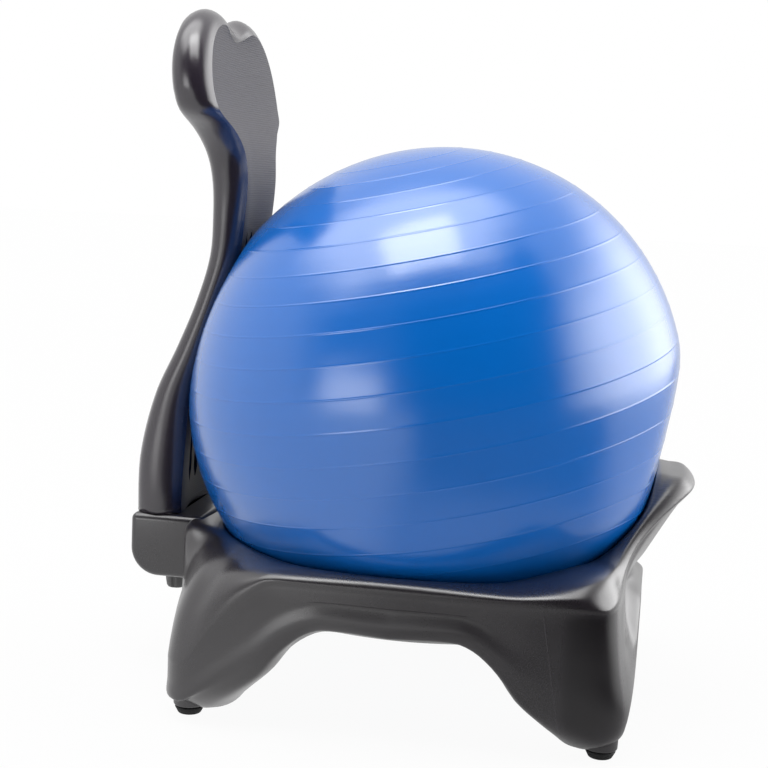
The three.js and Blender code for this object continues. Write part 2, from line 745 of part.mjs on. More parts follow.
// The board: a front panel and a rear panel, joined round their edges by bands, with a flat foot.
function makeBackrestBoard() {
  const points = [];
  const triangles = [];
  const rowCount = backrestRows + cornerRows;
  const put = (point) => points.push(point) - 1;
  const quad = (first, second, third, fourth) => triangles.push(first, second, third, first, third, fourth);
  const panel = (through) =>
    Array.from({ length: rowCount + 1 }, (_, row) =>
      Array.from({ length: backrestColumns + 1 }, (_, column) =>
        put(backrestPoint(row, (2 * column) / backrestColumns - 1, bevelWidth, through)),
      ),
    );
  const borderOf = (grid) => [
    ...grid.map((row) => row[0]),
    ...grid[rowCount].slice(1, -1),
    ...grid.map((row) => row[backrestColumns]).reverse(),
  ];
  const borderAt = ([insetShare, through]) => {
    const inset = bevelWidth * insetShare;
    const sideRows = Array.from({ length: rowCount + 1 }, (_, row) => row);
    const left = sideRows.map((row) => put(backrestPoint(row, -1, inset, through)));
    const top = Array.from({ length: backrestColumns - 1 }, (_, column) =>
      put(backrestPoint(rowCount, (2 * (column + 1)) / backrestColumns - 1, inset, through)),
    );
    const right = sideRows.reverse().map((row) => put(backrestPoint(row, 1, inset, through)));
    return [...left, ...top, ...right];
  };
  const front = panel(0);
  const rear = panel(1);
  for (let row = 0; row < rowCount; row += 1) {
    for (let column = 0; column < backrestColumns; column += 1) {
      const next = column + 1;
      quad(front[row][column], front[row][next], front[row + 1][next], front[row + 1][column]);
      quad(rear[row][next], rear[row][column], rear[row + 1][column], rear[row + 1][next]);
    }
  }
  const borders = [borderOf(front), ...edgeShares.slice(1, -1).map(borderAt), borderOf(rear)];
  for (let band = 0; band < borders.length - 1; band += 1) {
    for (let step = 0; step < borders[band].length - 1; step += 1) {
      const [inner, outer] = [borders[band], borders[band + 1]];
      quad(inner[step + 1], outer[step + 1], outer[step], inner[step]);
    }
  }
  const lastStep = borders[0].length - 1;
  const footRing = [
    ...front[0],
    ...borders.slice(1).map((border) => border[lastStep]),
    ...rear[0].slice(0, -1).reverse(),
    ...borders.slice(1, -1).map((border) => border[0]).reverse(),
  ];
  const footMiddle = put(new THREE.Vector3(0, footFront + footDepth / 2, backrestBottom));
  footRing.forEach((index, place) => {
    triangles.push(footMiddle, footRing[(place + 1) % footRing.length], index);
  });
  const geometry = new THREE.BufferGeometry();
  geometry.setAttribute("position", new THREE.Float32BufferAttribute(points.flatMap((p) => p.toArray()), 3));
  geometry.setIndex(triangles);
  return solidFromGeometry(geometry);
}

// One slot cutter: a strip that follows the front line of the backrest.
function makeSlotCutter(x) {
  const steps = 12;
  const slotBottom = backrestBottom + slotAboveFoot;
  const rows = Array.from({ length: steps + 1 }, (_, step) => {
    const height = slotBottom + (slotLength * step) / steps;
    const front = backrestLine(height).front;
    const endShare = Math.min(step, steps - step) === 0 ? 0.5 : 1;
    const half = (slotWidth / 2) * endShare;
    const near = front - cutOverrun;
    const far = front + frontHollow + slotDepth;
    return [
      new THREE.Vector3(x - half, near, height),
      new THREE.Vector3(x + half, near, height),
      new THREE.Vector3(x + half, far, height),
      new THREE.Vector3(x - half, far, height),
    ];
  });
  return solidFromGeometry(surfaceFromRows(rows, false));
}

function makeBackrest() {
  let backrest = makeBackrestBoard();
  for (let slot = 0; slot < slotCount; slot += 1) {
    const x = (slot - (slotCount - 1) / 2) * slotPitch;
    backrest = backrest.subtract(makeSlotCutter(x));
  }
  for (const side of [-1, 1]) {
    const x = (side * knobSpacing) / 2;
    const pocketTop = backrestBottom + insertLength + seatGap;
    const pocket = insertDiameter + 2 * seatGap;
    backrest = backrest.subtract(upright(pocket, backrestBottom - cutOverrun, pocketTop, x, boltY));
  }
  return backrest;
}

const knobTop = blockBottom - washerThickness - 2 * seatGap;
const knobBottom = knobTop - knobHeight;

// A hand knob: a tapered body with finger flutes round its side and a bore for the stud.
function makeKnob(x) {
  const round = knobHeight / 8;
  let knob = solidFromGeometry(turned([
    [0, knobBottom],
    [knobTipDiameter / 2 - round, knobBottom],
    [knobTipDiameter / 2, knobBottom + round],
    [knobDiameter / 2, knobTop - round],
    [knobDiameter / 2 - round / 2, knobTop],
    [0, knobTop],
  ], 24).translate(x, boltY, 0));
  for (let flute = 0; flute < knobFlutes; flute += 1) {
    const turn = (2 * Math.PI * flute) / knobFlutes;
    const fluteX = x + (knobDiameter / 2) * Math.cos(turn);
    const fluteY = boltY + (knobDiameter / 2) * Math.sin(turn);
    const fluteTop = knobTop - 2 * round;
    knob = knob.subtract(upright(2 * knobFluteRadius, knobBottom - cutOverrun, fluteTop, fluteX, fluteY, 8));
  }
  const bore = studDiameter + 2 * seatGap;
  const boreBottom = knobTop - studDepthInKnob - seatGap;
  return knob.subtract(upright(bore, boreBottom, knobTop + cutOverrun, x, boltY));
}

function makeStud() {
  const radius = studDiameter / 2;
  const bottom = knobTop - studDepthInKnob;
  const top = backrestBottom + studAboveBlock;
  return turned([
    [0, bottom],
    [radius, bottom],
    [radius, top - radius / 3],
    [radius - radius / 3, top],
    [0, top],
  ], 16);
}

function makeWasher() {
  const inner = studDiameter / 2 + studFit;
  const bottom = knobTop + seatGap;
  const top = bottom + washerThickness;
  return turned([
    [inner, bottom],
    [washerDiameter / 2, bottom],
    [washerDiameter / 2, top],
    [inner, top],
    [inner, bottom],
  ], 24);
}

// A threaded insert, closed at its top, that the stud screws up into.
function makeInsert() {
  const outer = insertDiameter / 2;
  const inner = studDiameter / 2 + seatGap;
  const top = backrestBottom + insertLength;
  return turned([
    [inner, backrestBottom],
    [outer, backrestBottom],
    [outer, top],
    [0, top],
    [0, top - seatGap * 4],
    [inner, top - seatGap * 4],
    [inner, backrestBottom],
  ], 16);
}

// The scene graph: every piece is a named mesh, and one group centres the chair over its origin.
const chair = new THREE.Group();
const centred = new THREE.Group();
centred.position.y = centreShift;
chair.add(centred);

function addPiece(name, geometry, look, x = 0, y = 0) {
  const mesh = new THREE.Mesh(geometry, new THREE.MeshStandardMaterial(look));
  mesh.name = name;
  mesh.position.set(x, y, 0);
  centred.add(mesh);
}

addPiece("cradle_base", geometryFromSolid(makeBase()), plasticLook);
addPiece("backrest", geometryFromSolid(makeBackrest()), panelLook);
addPiece("ball", geometryFromSolid(makeBall()), ballLook);
addPiece("valve_plug", geometryFromSolid(makeValvePlug()), plugLook);
for (const corner of corners) {
  addPiece("foot_sleeve_" + corner.name, makeFootSleeve(), plasticLook, corner.x, corner.y);
  addPiece("foot_" + corner.name, makeFoot(), rubberLook, corner.x, corner.y);
}
for (const [side, sign] of [["left", -1], ["right", 1]]) {
  const x = (sign * knobSpacing) / 2;
  addPiece("knob_" + side, geometryFromSolid(makeKnob(x)), knobLook);
  addPiece("knob_stud_" + side, makeStud(), steelLook, x, boltY);
  addPiece("knob_washer_" + side, makeWasher(), steelLook, x, boltY);
  addPiece("backrest_insert_" + side, makeInsert(), steelLook, x, boltY);
}

export default chair;
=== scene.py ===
"""Looks of the balance ball chair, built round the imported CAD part.

Every length in the shape functions is in millimetres, as in the part's source, and is turned into
metres where a vertex is placed. The chair faces -Y and its feet stand at height zero.
"""

import math

import bmesh
import bpy
from mathutils import Matrix, Vector


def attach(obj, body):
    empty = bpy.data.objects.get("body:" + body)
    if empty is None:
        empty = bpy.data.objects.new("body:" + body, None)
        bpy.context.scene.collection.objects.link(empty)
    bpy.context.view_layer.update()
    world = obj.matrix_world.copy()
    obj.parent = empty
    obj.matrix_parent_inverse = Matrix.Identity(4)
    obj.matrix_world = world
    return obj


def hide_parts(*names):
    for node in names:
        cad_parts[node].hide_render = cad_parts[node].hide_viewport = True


bl_info = {
    "name": "Balance Ball Chair",
    "version": (1, 0, 0),
    "blender": (4, 5, 0),
    "location": "View3D > Sidebar > Ball Chair",
    "description": "Builds the looks of a ball chair round its packed CAD part",
    "category": "Add Mesh",
}

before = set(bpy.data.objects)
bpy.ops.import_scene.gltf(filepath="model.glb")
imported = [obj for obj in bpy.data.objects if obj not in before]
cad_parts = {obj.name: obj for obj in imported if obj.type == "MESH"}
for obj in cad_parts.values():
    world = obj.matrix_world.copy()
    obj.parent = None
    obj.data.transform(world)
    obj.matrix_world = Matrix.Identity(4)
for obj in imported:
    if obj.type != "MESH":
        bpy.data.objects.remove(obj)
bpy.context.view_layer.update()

# Sizes of the CAD part and of the finer forms over it: lengths in millimetres, angles in degrees, and a
# few counts, shares and sines.
BALL_RADIUS = 260.0
BALL_CENTRE = 305.0
BALL_BULGE = 4.5
BULGE_ELEVATION = 53.0
BULGE_START = -0.35
BULGE_FULL = 0.1
LIP_PRESS_DEPTH = 18.0
LIP_PRESS_ELEVATION = -11.0
LIP_PRESS_SOFTNESS = 12.0
RING_COUNT = 23
RING_SPAN = 150.0
RING_LEAN_SIDE = 11.0
RING_LEAN_FRONT = 6.0
PRESS_SOFTNESS = 9.0
PRESS_GAP = 2.0
CRADLE_GAP = 1.3
CRADLE_RADIUS = BALL_RADIUS + CRADLE_GAP
OPENING_RADIUS = 153.0
CRADLE_EDGE = 9.0
RIM_HEIGHT = 162.0
RIM_BAND = 14.0
SIDE_BAND = 24.0
FRONT_BAND = -5.0
REAR_BAND = 12.0
LEG_FLARE = 16.0
PANEL_RECESS = 6.0
PLAN_SHARPNESS = 16
CORNER_BEYOND_FOOT = 43.0
ARCH_HEIGHT = 107.0
SKIRT = 20.0
LEG_DEPTH = 96.0
LEG_INNER_RISE = 34.0
TOE_RADIUS = 30.0
SHOULDER_RISE = 14.0
REAR_RISE = 5.0
RIDGE_ABOVE_FOOT = 58.0
EDGE_RADIUS = 6.0
LIP_HEIGHT = 246.0
LIP_REACH = 58.0
LIP_THICKNESS = 24.0
LIP_TOP_WIDTH = 38.0
NECK_HEIGHT = 138.0
NECK_THICKNESS = 19.0
LIP_FLAT = 9.0
LIP_FADE = 40.0
FLARE_FLAT = 18.0
FLARE_FADE = 34.0
FLARE_REACH = 14.0
RISE_START = 0.4
RISE_END = 0.78
BLOCK_WIDTH = 164.0
BLOCK_TOP = 169.0
BLOCK_HEIGHT = 67.0
BLOCK_REACH = 88.0
BLOCK_LOWER_RADIUS = 30.0
BLOCK_EDGE_RADIUS = 7.0
FOOT_INSET = 44.0
FOOT_INSET_FRONT = 28.0
FOOT_HEIGHT = 8.0
SEAT_GAP = 0.3
BACKREST_TOP = 694.0
LOBE_HALF_WIDTH = 139.0
LOBE_CORNER_RADIUS = 85.0
TOP_DIP = 13.0
BEVEL_WIDTH = 15.0
BACKREST_FOOT_DEPTH = 49.0
BACKREST_SWEEP = 56.0
FRONT_HOLLOW = 6.0
REAR_CROWN = 2.0
SLOT_PITCH = 25.0
SLOT_WIDTH = 12.0
SLOT_DEPTH = 13.0
SLOT_ABOVE_FOOT = 28.0
SLOT_LENGTH = 270.0
CLIMB_ROWS = 22
CORNER_ROWS = 7
FOOT_FRONT_FROM_RIM = 38.0
KNOB_SPACING = 64.0
KNOB_DIAMETER = 26.0
KNOB_TIP_DIAMETER = 21.0
KNOB_HEIGHT = 20.0
KNOB_FLUTES = 6
KNOB_FLUTE_DEPTH = 0.16
WASHER_THICKNESS = 1.6
BOLT_FROM_FOOT_FRONT = 13.0
VALVE_AZIMUTH = -12.0
VALVE_ELEVATION = 5.0
PLUG_STEM_RADIUS = 4.2
PLUG_HEAD_RADIUS = 8.5
PLUG_HEAD_THICKNESS = 1.8
PLUG_STEM_LENGTH = 15.0
PLUG_FIT = 0.3
COLLAR_RADIUS = 16.0
COLLAR_FOOT = 8.7
COLLAR_TOP = 52.0
GLIDE_RADIUS = 14.4
GLIDE_FACE_RADIUS = 9.8
GLIDE_STEM_RADIUS = 5.5
GLIDE_THICKNESS = 7.7
GLIDE_STEM_TOP = 31.0

# Curves read by their first column: the backrest's sweep and thickness over its height,
BACKREST_LINE = (
    (0, 0, 1), (0.12, 0.02, 1.01), (0.24, 0.1, 0.82), (0.34, 0.4, 0.7), (0.43, 0.67, 0.63),
    (0.52, 0.93, 0.66), (0.6, 1.02, 0.72), (0.68, 1.06, 0.81), (0.75, 0.98, 0.9), (0.82, 0.76, 0.88),
    (0.9, 0.63, 0.86), (1, 0.5, 0.76),
)
# its width over its height,
BACKREST_WIDTH = (
    (0, 0.575), (0.05, 0.575), (0.2, 0.535), (0.4, 0.51), (0.58, 0.51), (0.67, 0.52), (0.727, 0.56),
    (0.768, 0.72), (0.8, 0.95), (0.835, 1),
)
# the inset and depth of its rounded edge from front to rear,
EDGE_SHARES = (
    (0, 1, 0), (0.16, 0.52, 0.09), (0.33, 0.17, 0.25), (0.5, 0, 0.46), (0.67, 0.12, 0.68), (0.84, 0.45, 0.87),
    (1, 1, 0.97),
)
# and how far the base's arch and rear ridge have dropped between a side's middle and a foot.
ARCH_DROP = (
    (0, 0.02), (0.32, 0), (0.41, 0.06), (0.485, 0.17), (0.55, 0.3), (0.64, 0.52), (0.79, 0.74),
    (0.92, 0.9), (1, 1),
)
RIDGE_DROP = (
    (0.5, 0), (0.56, 0.06), (0.636, 0.26), (0.75, 0.51), (0.82, 0.66), (0.888, 0.8), (0.94, 0.92), (1, 1),
)


def mix(first, second, share):
    return first + (second - first) * share


def smooth_step(value, low, high):
    t = min(max((value - low) / (high - low), 0.0), 1.0)
    return t * t * (3 - 2 * t)


def read_curve(rows, place, column=1):
    """A smooth curve through (place, value, ...) rows, read at one place."""
    last = len(rows) - 1
    if place <= rows[0][0]:
        return rows[0][column]
    if place >= rows[last][0]:
        return rows[last][column]
    index = next(i for i, row in enumerate(rows) if row[0] > place) - 1

    def slope(i):
        before, after = rows[max(i - 1, 0)], rows[min(i + 1, last)]
        return (after[column] - before[column]) / (after[0] - before[0])

    span = rows[index + 1][0] - rows[index][0]
    t = (place - rows[index][0]) / span
    value = mix(rows[index][column], rows[index + 1][column], t * t * (3 - 2 * t))
    return value + t * (1 - t) ** 2 * span * slope(index) + t * t * (t - 1) * span * slope(index + 1)


def direction_at(azimuth, elevation):
    level = math.cos(math.radians(elevation))
    turn = math.radians(azimuth)
    return Vector((level * math.cos(turn), level * math.sin(turn), math.sin(math.radians(elevation))))


def soft_minimum(first, second, softness):
    overlap = max(softness - abs(first - second), 0.0) / softness
    return min(first, second) - overlap * overlap * softness / 4


def share_near(azimuth, middle, flat, fade):
    turn = (azimuth - middle + 180) % 360 - 180
    return 1 - smooth_step(abs(turn), flat, fade)


def cradle_radius_at(height):
    return math.sqrt(CRADLE_RADIUS**2 - (BALL_CENTRE - height) ** 2)


RIM_INNER = cradle_radius_at(RIM_HEIGHT)
BASE_HALF_WIDTH = RIM_INNER + SIDE_BAND
FRONT_HALF_DEPTH = RIM_INNER + FRONT_BAND
REAR_HALF_DEPTH = RIM_INNER + REAR_BAND
LOW_HALF_WIDTH = BASE_HALF_WIDTH - PANEL_RECESS
LOW_HALF_DEPTH = FRONT_HALF_DEPTH + LEG_FLARE
FOOT_X = BASE_HALF_WIDTH - FOOT_INSET - PANEL_RECESS
FOOT_Y = LOW_HALF_DEPTH - FOOT_INSET_FRONT
CORNER_REACH = math.hypot(FOOT_X, FOOT_Y) + CORNER_BEYOND_FOOT
LEG_BOTTOM = FOOT_HEIGHT + SEAT_GAP
NECK_RADIUS = cradle_radius_at(NECK_HEIGHT) + NECK_THICKNESS
BLOCK_REAR = RIM_INNER + BLOCK_REACH
BLOCK_BOTTOM = BLOCK_TOP - BLOCK_HEIGHT
BACKREST_BOTTOM = BLOCK_TOP + SEAT_GAP
FOOT_FRONT = RIM_INNER + FOOT_FRONT_FROM_RIM
BACKREST_HEIGHT = BACKREST_TOP - BACKREST_BOTTOM
LOBE_CORNER_HEIGHT = BACKREST_TOP - LOBE_CORNER_RADIUS
WAIST_HALF_WIDTH = LOBE_HALF_WIDTH * min(share for _, share in BACKREST_WIDTH)
BOLT_Y = FOOT_FRONT + BOLT_FROM_FOOT_FRONT
CENTRE_SHIFT = (LIP_REACH - BLOCK_REACH) / 2
KNOB_TOP = BLOCK_BOTTOM - WASHER_THICKNESS - 2 * SEAT_GAP

BULGE_AXIS = direction_at(270, BULGE_ELEVATION)
BULGE_CROSS = direction_at(90, 90 - BULGE_ELEVATION)
LIP_PRESS_AXIS = direction_at(270, LIP_PRESS_ELEVATION)
RING_AXIS = Vector((
    -math.sin(math.radians(RING_LEAN_FRONT)),
    math.sin(math.radians(RING_LEAN_SIDE)),
    math.cos(math.radians(RING_LEAN_SIDE)),
)).normalized()


def ball_reach(direction):
    """How far the ball reaches from its centre: it bulges up and forward, and the lip presses it flat."""
    upper = smooth_step(direction.z, BULGE_START, BULGE_FULL)
    swell = direction.dot(BULGE_AXIS) ** 2 - direction.dot(BULGE_CROSS) ** 2
    reach = BALL_RADIUS + BALL_BULGE * swell * upper
    facing = direction.dot(LIP_PRESS_AXIS)
    if facing < 0.5:  # past 60 degrees from the lip
        return reach
    return soft_minimum(reach, (BALL_RADIUS - LIP_PRESS_DEPTH) / facing, LIP_PRESS_SOFTNESS)


def backrest_line(height):
    share = (height - BACKREST_BOTTOM) / BACKREST_HEIGHT
    front = FOOT_FRONT - BACKREST_SWEEP * read_curve(BACKREST_LINE, share, 1)
    return front, BACKREST_FOOT_DEPTH * read_curve(BACKREST_LINE, share, 2)


def to_row(point):
    """A point in the part's millimetres as a point of the row frame in metres."""
    return Vector((point[0], point[1] + CENTRE_SHIFT, point[2])) / 1000


def plan_radius(azimuth, half_width, half_depth, reach):
    """Radius, at an azimuth, of a rounded rectangle with its corners cut across."""
    x = abs(math.cos(math.radians(azimuth)))
    y = abs(math.sin(math.radians(azimuth)))
    corner_angle = math.atan2(half_depth, half_width)
    corner = (x * math.cos(corner_angle) + y * math.sin(corner_angle)) / reach
    total = (x / half_width) ** PLAN_SHARPNESS + (y / half_depth) ** PLAN_SHARPNESS + corner**PLAN_SHARPNESS
    return total ** (-1 / PLAN_SHARPNESS)


def foot_ring_at(azimuth):
    return plan_radius(azimuth, FOOT_X, FOOT_Y, math.hypot(FOOT_X, FOOT_Y))


def place_at(azimuth):
    """Place between the middle of a side, at 0, and a foot, at 1, and whether the side is an end."""
    radius = plan_radius(azimuth, LOW_HALF_WIDTH, LOW_HALF_DEPTH, CORNER_REACH)
    across = abs(radius * math.cos(math.radians(azimuth))) / FOOT_X
    along = abs(radius * math.sin(math.radians(azimuth))) / FOOT_Y
    return min(across, along), along > across


def elevation_of(height):
    return math.degrees(math.asin((height - BALL_CENTRE) / CRADLE_RADIUS))


def cradle_point(azimuth, elevation):
    direction = direction_at(azimuth, elevation)
    reach = ball_reach(direction) + CRADLE_GAP
    return (reach * math.hypot(direction.x, direction.y), BALL_CENTRE + reach * direction.z)


def mix_points(first, second, share):
    return [tuple(mix(a, b, share) for a, b in zip(p, q)) for p, q in zip(first, second)]


def cradle_section(azimuth):
    """(radius, height) points up the cradle, over the rim, down the outside and under."""
    is_front = azimuth > 180
    place, is_end = place_at(azimuth)
    leg = read_curve(ARCH_DROP, place)
    lip = share_near(azimuth, 270, LIP_FLAT, LIP_FADE)
    flare = share_near(azimuth, 90, FLARE_FLAT, FLARE_FADE)
    slope = abs(math.sin(math.radians(azimuth)))
    rise = SHOULDER_RISE if is_front else REAR_RISE
    crest = RIM_HEIGHT + rise * smooth_step(slope, RISE_START, RISE_END)
    bottom = mix(mix(ARCH_HEIGHT, BLOCK_BOTTOM + EDGE_RADIUS, flare), LEG_BOTTOM, leg)
    rear_drop = 1 - flare if is_end else read_curve(RIDGE_DROP, place)
    drop = 0.0 if is_front else rear_drop
    ridge = mix(crest, bottom + RIDGE_ABOVE_FOOT, drop)
    low = plan_radius(azimuth, LOW_HALF_WIDTH, LOW_HALF_DEPTH, CORNER_REACH)
    half_depth = FRONT_HALF_DEPTH if is_front else REAR_HALF_DEPTH
    shoulder = mix(plan_radius(azimuth, BASE_HALF_WIDTH, half_depth, CORNER_REACH), low, drop)
    recessed = low - PANEL_RECESS / 2
    face_top = mix(recessed, shoulder, leg) if is_front else mix(recessed, low, drop)
    face_middle = mix(recessed, mix(shoulder, low, 0.4), leg) if is_front else face_top
    toe_ring = mix(low - EDGE_RADIUS, foot_ring_at(azimuth) + TOE_RADIUS * 0.55, leg**4)
    push = FLARE_REACH * flare

    lip_elevation = elevation_of(LIP_HEIGHT - EDGE_RADIUS / 2)
    crest_elevation = mix(elevation_of(crest - EDGE_RADIUS), lip_elevation, lip)
    opening = -math.degrees(math.acos(OPENING_RADIUS / CRADLE_RADIUS))
    climbs = (mix(opening, crest_elevation, quarter / 4) for quarter in range(5))
    cradle = [cradle_point(azimuth, elevation) for elevation in climbs]
    crest_radius = cradle[-1][0]

    def slope_point(out, down):
        return (mix(crest_radius, shoulder, out), mix(crest, ridge, down))

    soft = leg**5 if is_front else 0.0
    rim_round = EDGE_RADIUS * (1 - drop) * (1 + soft)
    band = mix(RIM_BAND * 0.8, EDGE_RADIUS, drop) * (1 + soft)
    plain = [
        slope_point(0.3, 0.07),
        slope_point(mix(0.78, 0.64, drop), 0.25),
        (mix(crest_radius, shoulder, mix(1 - 0.08 * soft, 0.88, drop)), mix(crest, ridge, 0.6) - rim_round),
        (shoulder, ridge - band),
        (mix(shoulder, face_top, 0.4), ridge - band - EDGE_RADIUS),
        (mix(shoulder, face_top, 0.85), ridge - band - EDGE_RADIUS * 2.5),
        (face_middle, mix(ridge, bottom, 0.5)),
    ]
    tip = RIM_INNER + LIP_REACH
    flared = [
        (tip - LIP_TOP_WIDTH * 0.6, LIP_HEIGHT),
        (tip - EDGE_RADIUS * 1.5, LIP_HEIGHT - EDGE_RADIUS / 3),
        (tip, LIP_HEIGHT - EDGE_RADIUS * 2),
        (tip - LIP_THICKNESS * 0.15, LIP_HEIGHT - EDGE_RADIUS * 3),
        (tip - LIP_THICKNESS * 0.4, LIP_HEIGHT - LIP_THICKNESS),
        (mix(NECK_RADIUS, tip, 0.25), mix(NECK_HEIGHT, LIP_HEIGHT, 0.25)),
        (NECK_RADIUS, NECK_HEIGHT),
    ]
    lower = [
        (low, mix(bottom, ridge, 0.22)),
        (low - mix(EDGE_RADIUS, TOE_RADIUS, leg) / 6, bottom + mix(EDGE_RADIUS, TOE_RADIUS * 0.44, leg)),
        (toe_ring, bottom),
        (toe_ring - mix(SKIRT / 2, TOE_RADIUS, leg), bottom + EDGE_RADIUS / 3),
        (low - mix(SKIRT, LEG_DEPTH, leg), bottom + mix(EDGE_RADIUS, LEG_INNER_RISE, leg)),
    ]
    under_edge = (
        OPENING_RADIUS + EDGE_RADIUS * 2,
        BALL_CENTRE + CRADLE_RADIUS * math.sin(math.radians(opening)) - CRADLE_EDGE,
    )
    outside = [(radius + push, height) for radius, height in mix_points(plain, flared, lip) + lower]
    return cradle + outside + [under_edge]


def rounded_section(points, steps):
    """A closed centripetal Catmull-Rom curve through the points, with some steps for each stretch."""
    count = len(points)
    curve = []
    for index in range(count):
        p0, p1, p2, p3 = (Vector(points[(index + offset) % count]) for offset in (-1, 0, 1, 2))
        t0, t1, t2 = (max((b - a).length, 1e-4) ** 0.5 for a, b in ((p0, p1), (p1, p2), (p2, p3)))
        m1 = (p1 - p0) / t0 - (p2 - p0) / (t0 + t1) + (p2 - p1) / t1
        m2 = (p2 - p1) / t1 - (p3 - p1) / (t1 + t2) + (p3 - p2) / t2
        m1, m2 = m1 * t1, m2 * t1
        for step in range(steps):
            t = step / steps
            curve.append(
                (2 * t**3 - 3 * t**2 + 1) * p1 + (t**3 - 2 * t**2 + t) * m1
                + (-2 * t**3 + 3 * t**2) * p2 + (t**3 - t**2) * m2
            )
    return curve


def clear_of_ball(point):
    centre = Vector((0, 0, BALL_CENTRE))
    away = point - centre
    reach = ball_reach(away.normalized()) + CRADLE_GAP
    if away.length < reach:
        away = away.normalized() * reach
    return centre + away


# Vertices this near are one, in metres, and an edge with more than this turn, in radians, is sharp.
SAME_PLACE = 1e-6
SHARP_ANGLE = 0.5


def added(name, data):
    """Puts new data in the scene as an object."""
    made = bpy.data.objects.new(name, data)
    bpy.context.scene.collection.objects.link(made)
    return made


def new_piece(name, mesh_maker, body, replaced, materials):
    """Makes an object from a bmesh, hangs it on its CAD body and hides the CAD parts that it stands for."""
    mesh = bpy.data.meshes.new(name)
    shape = bmesh.new()
    mesh_maker(shape)
    bmesh.ops.remove_doubles(shape, verts=shape.verts, dist=SAME_PLACE)
    bmesh.ops.recalc_face_normals(shape, faces=shape.faces)
    for face in shape.faces:
        face.smooth = True
    shape.to_mesh(mesh)
    shape.free()
    piece = added(name, mesh)
    for material in materials:
        mesh.materials.append(material)
    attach(piece, body)
    if replaced:
        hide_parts(*replaced)
    return piece


def baked_modifiers(piece):
    """Puts the result of the piece's modifiers into its mesh."""
    bpy.context.view_layer.update()
    graph = bpy.context.evaluated_depsgraph_get()
    result = bpy.data.meshes.new_from_object(piece.evaluated_get(graph))
    piece.modifiers.clear()
    piece.data = result


def turned(shape, profile, steps, centre):
    """A form turned about an upright axis from (radius, height) pairs in millimetres, closed on the axis."""
    verts = [shape.verts.new((radius / 1000, 0, height / 1000)) for radius, height in profile]
    edges = [shape.edges.new(pair) for pair in zip(verts, verts[1:])]
    bmesh.ops.spin(
        shape, geom=verts + edges, cent=(0, 0, 0), axis=(0, 0, 1), angle=2 * math.pi,
        steps=steps, use_merge=True, use_duplicate=False,
    )
    bmesh.ops.translate(shape, verts=shape.verts, vec=centre)


def rounded(shape, edges, radius, segments):
    bmesh.ops.bevel(
        shape, geom=edges, offset=radius / 1000, offset_type="OFFSET", affect="EDGES",
        segments=segments, profile=0.5, material=-1,
    )


def raised(shape, faces):
    """Draws flat faces up by one, keeping them below, and gives the upper vertices."""
    made = bmesh.ops.extrude_face_region(shape, geom=faces, use_keep_orig=True)
    upper = [item for item in made["geom"] if isinstance(item, bmesh.types.BMVert)]
    bmesh.ops.translate(shape, verts=upper, vec=(0, 0, 1))
    return upper


def arc(centre, radius, start, end, steps):
    """Points round part of a circle, as (across, up) pairs, with angles in degrees."""
    angles = (math.radians(mix(start, end, step / steps)) for step in range(steps + 1))
    return [(centre[0] + radius * math.cos(a), centre[1] + radius * math.sin(a)) for a in angles]


# Shader maths: expressions on a wire add Math nodes, and any other node comes from Finish.node.
class Wire:
    """An output socket in a finish's node tree."""

    def __init__(self, finish, socket):
        self.finish = finish
        self.socket = socket

    def __add__(self, other):
        return self.finish.math("ADD", self, other)

    def __sub__(self, other):
        return self.finish.math("SUBTRACT", self, other)

    def __rsub__(self, other):
        return self.finish.math("SUBTRACT", other, self)

    def __mul__(self, other):
        return self.finish.math("MULTIPLY", self, other)

    __radd__ = __add__
    __rmul__ = __mul__


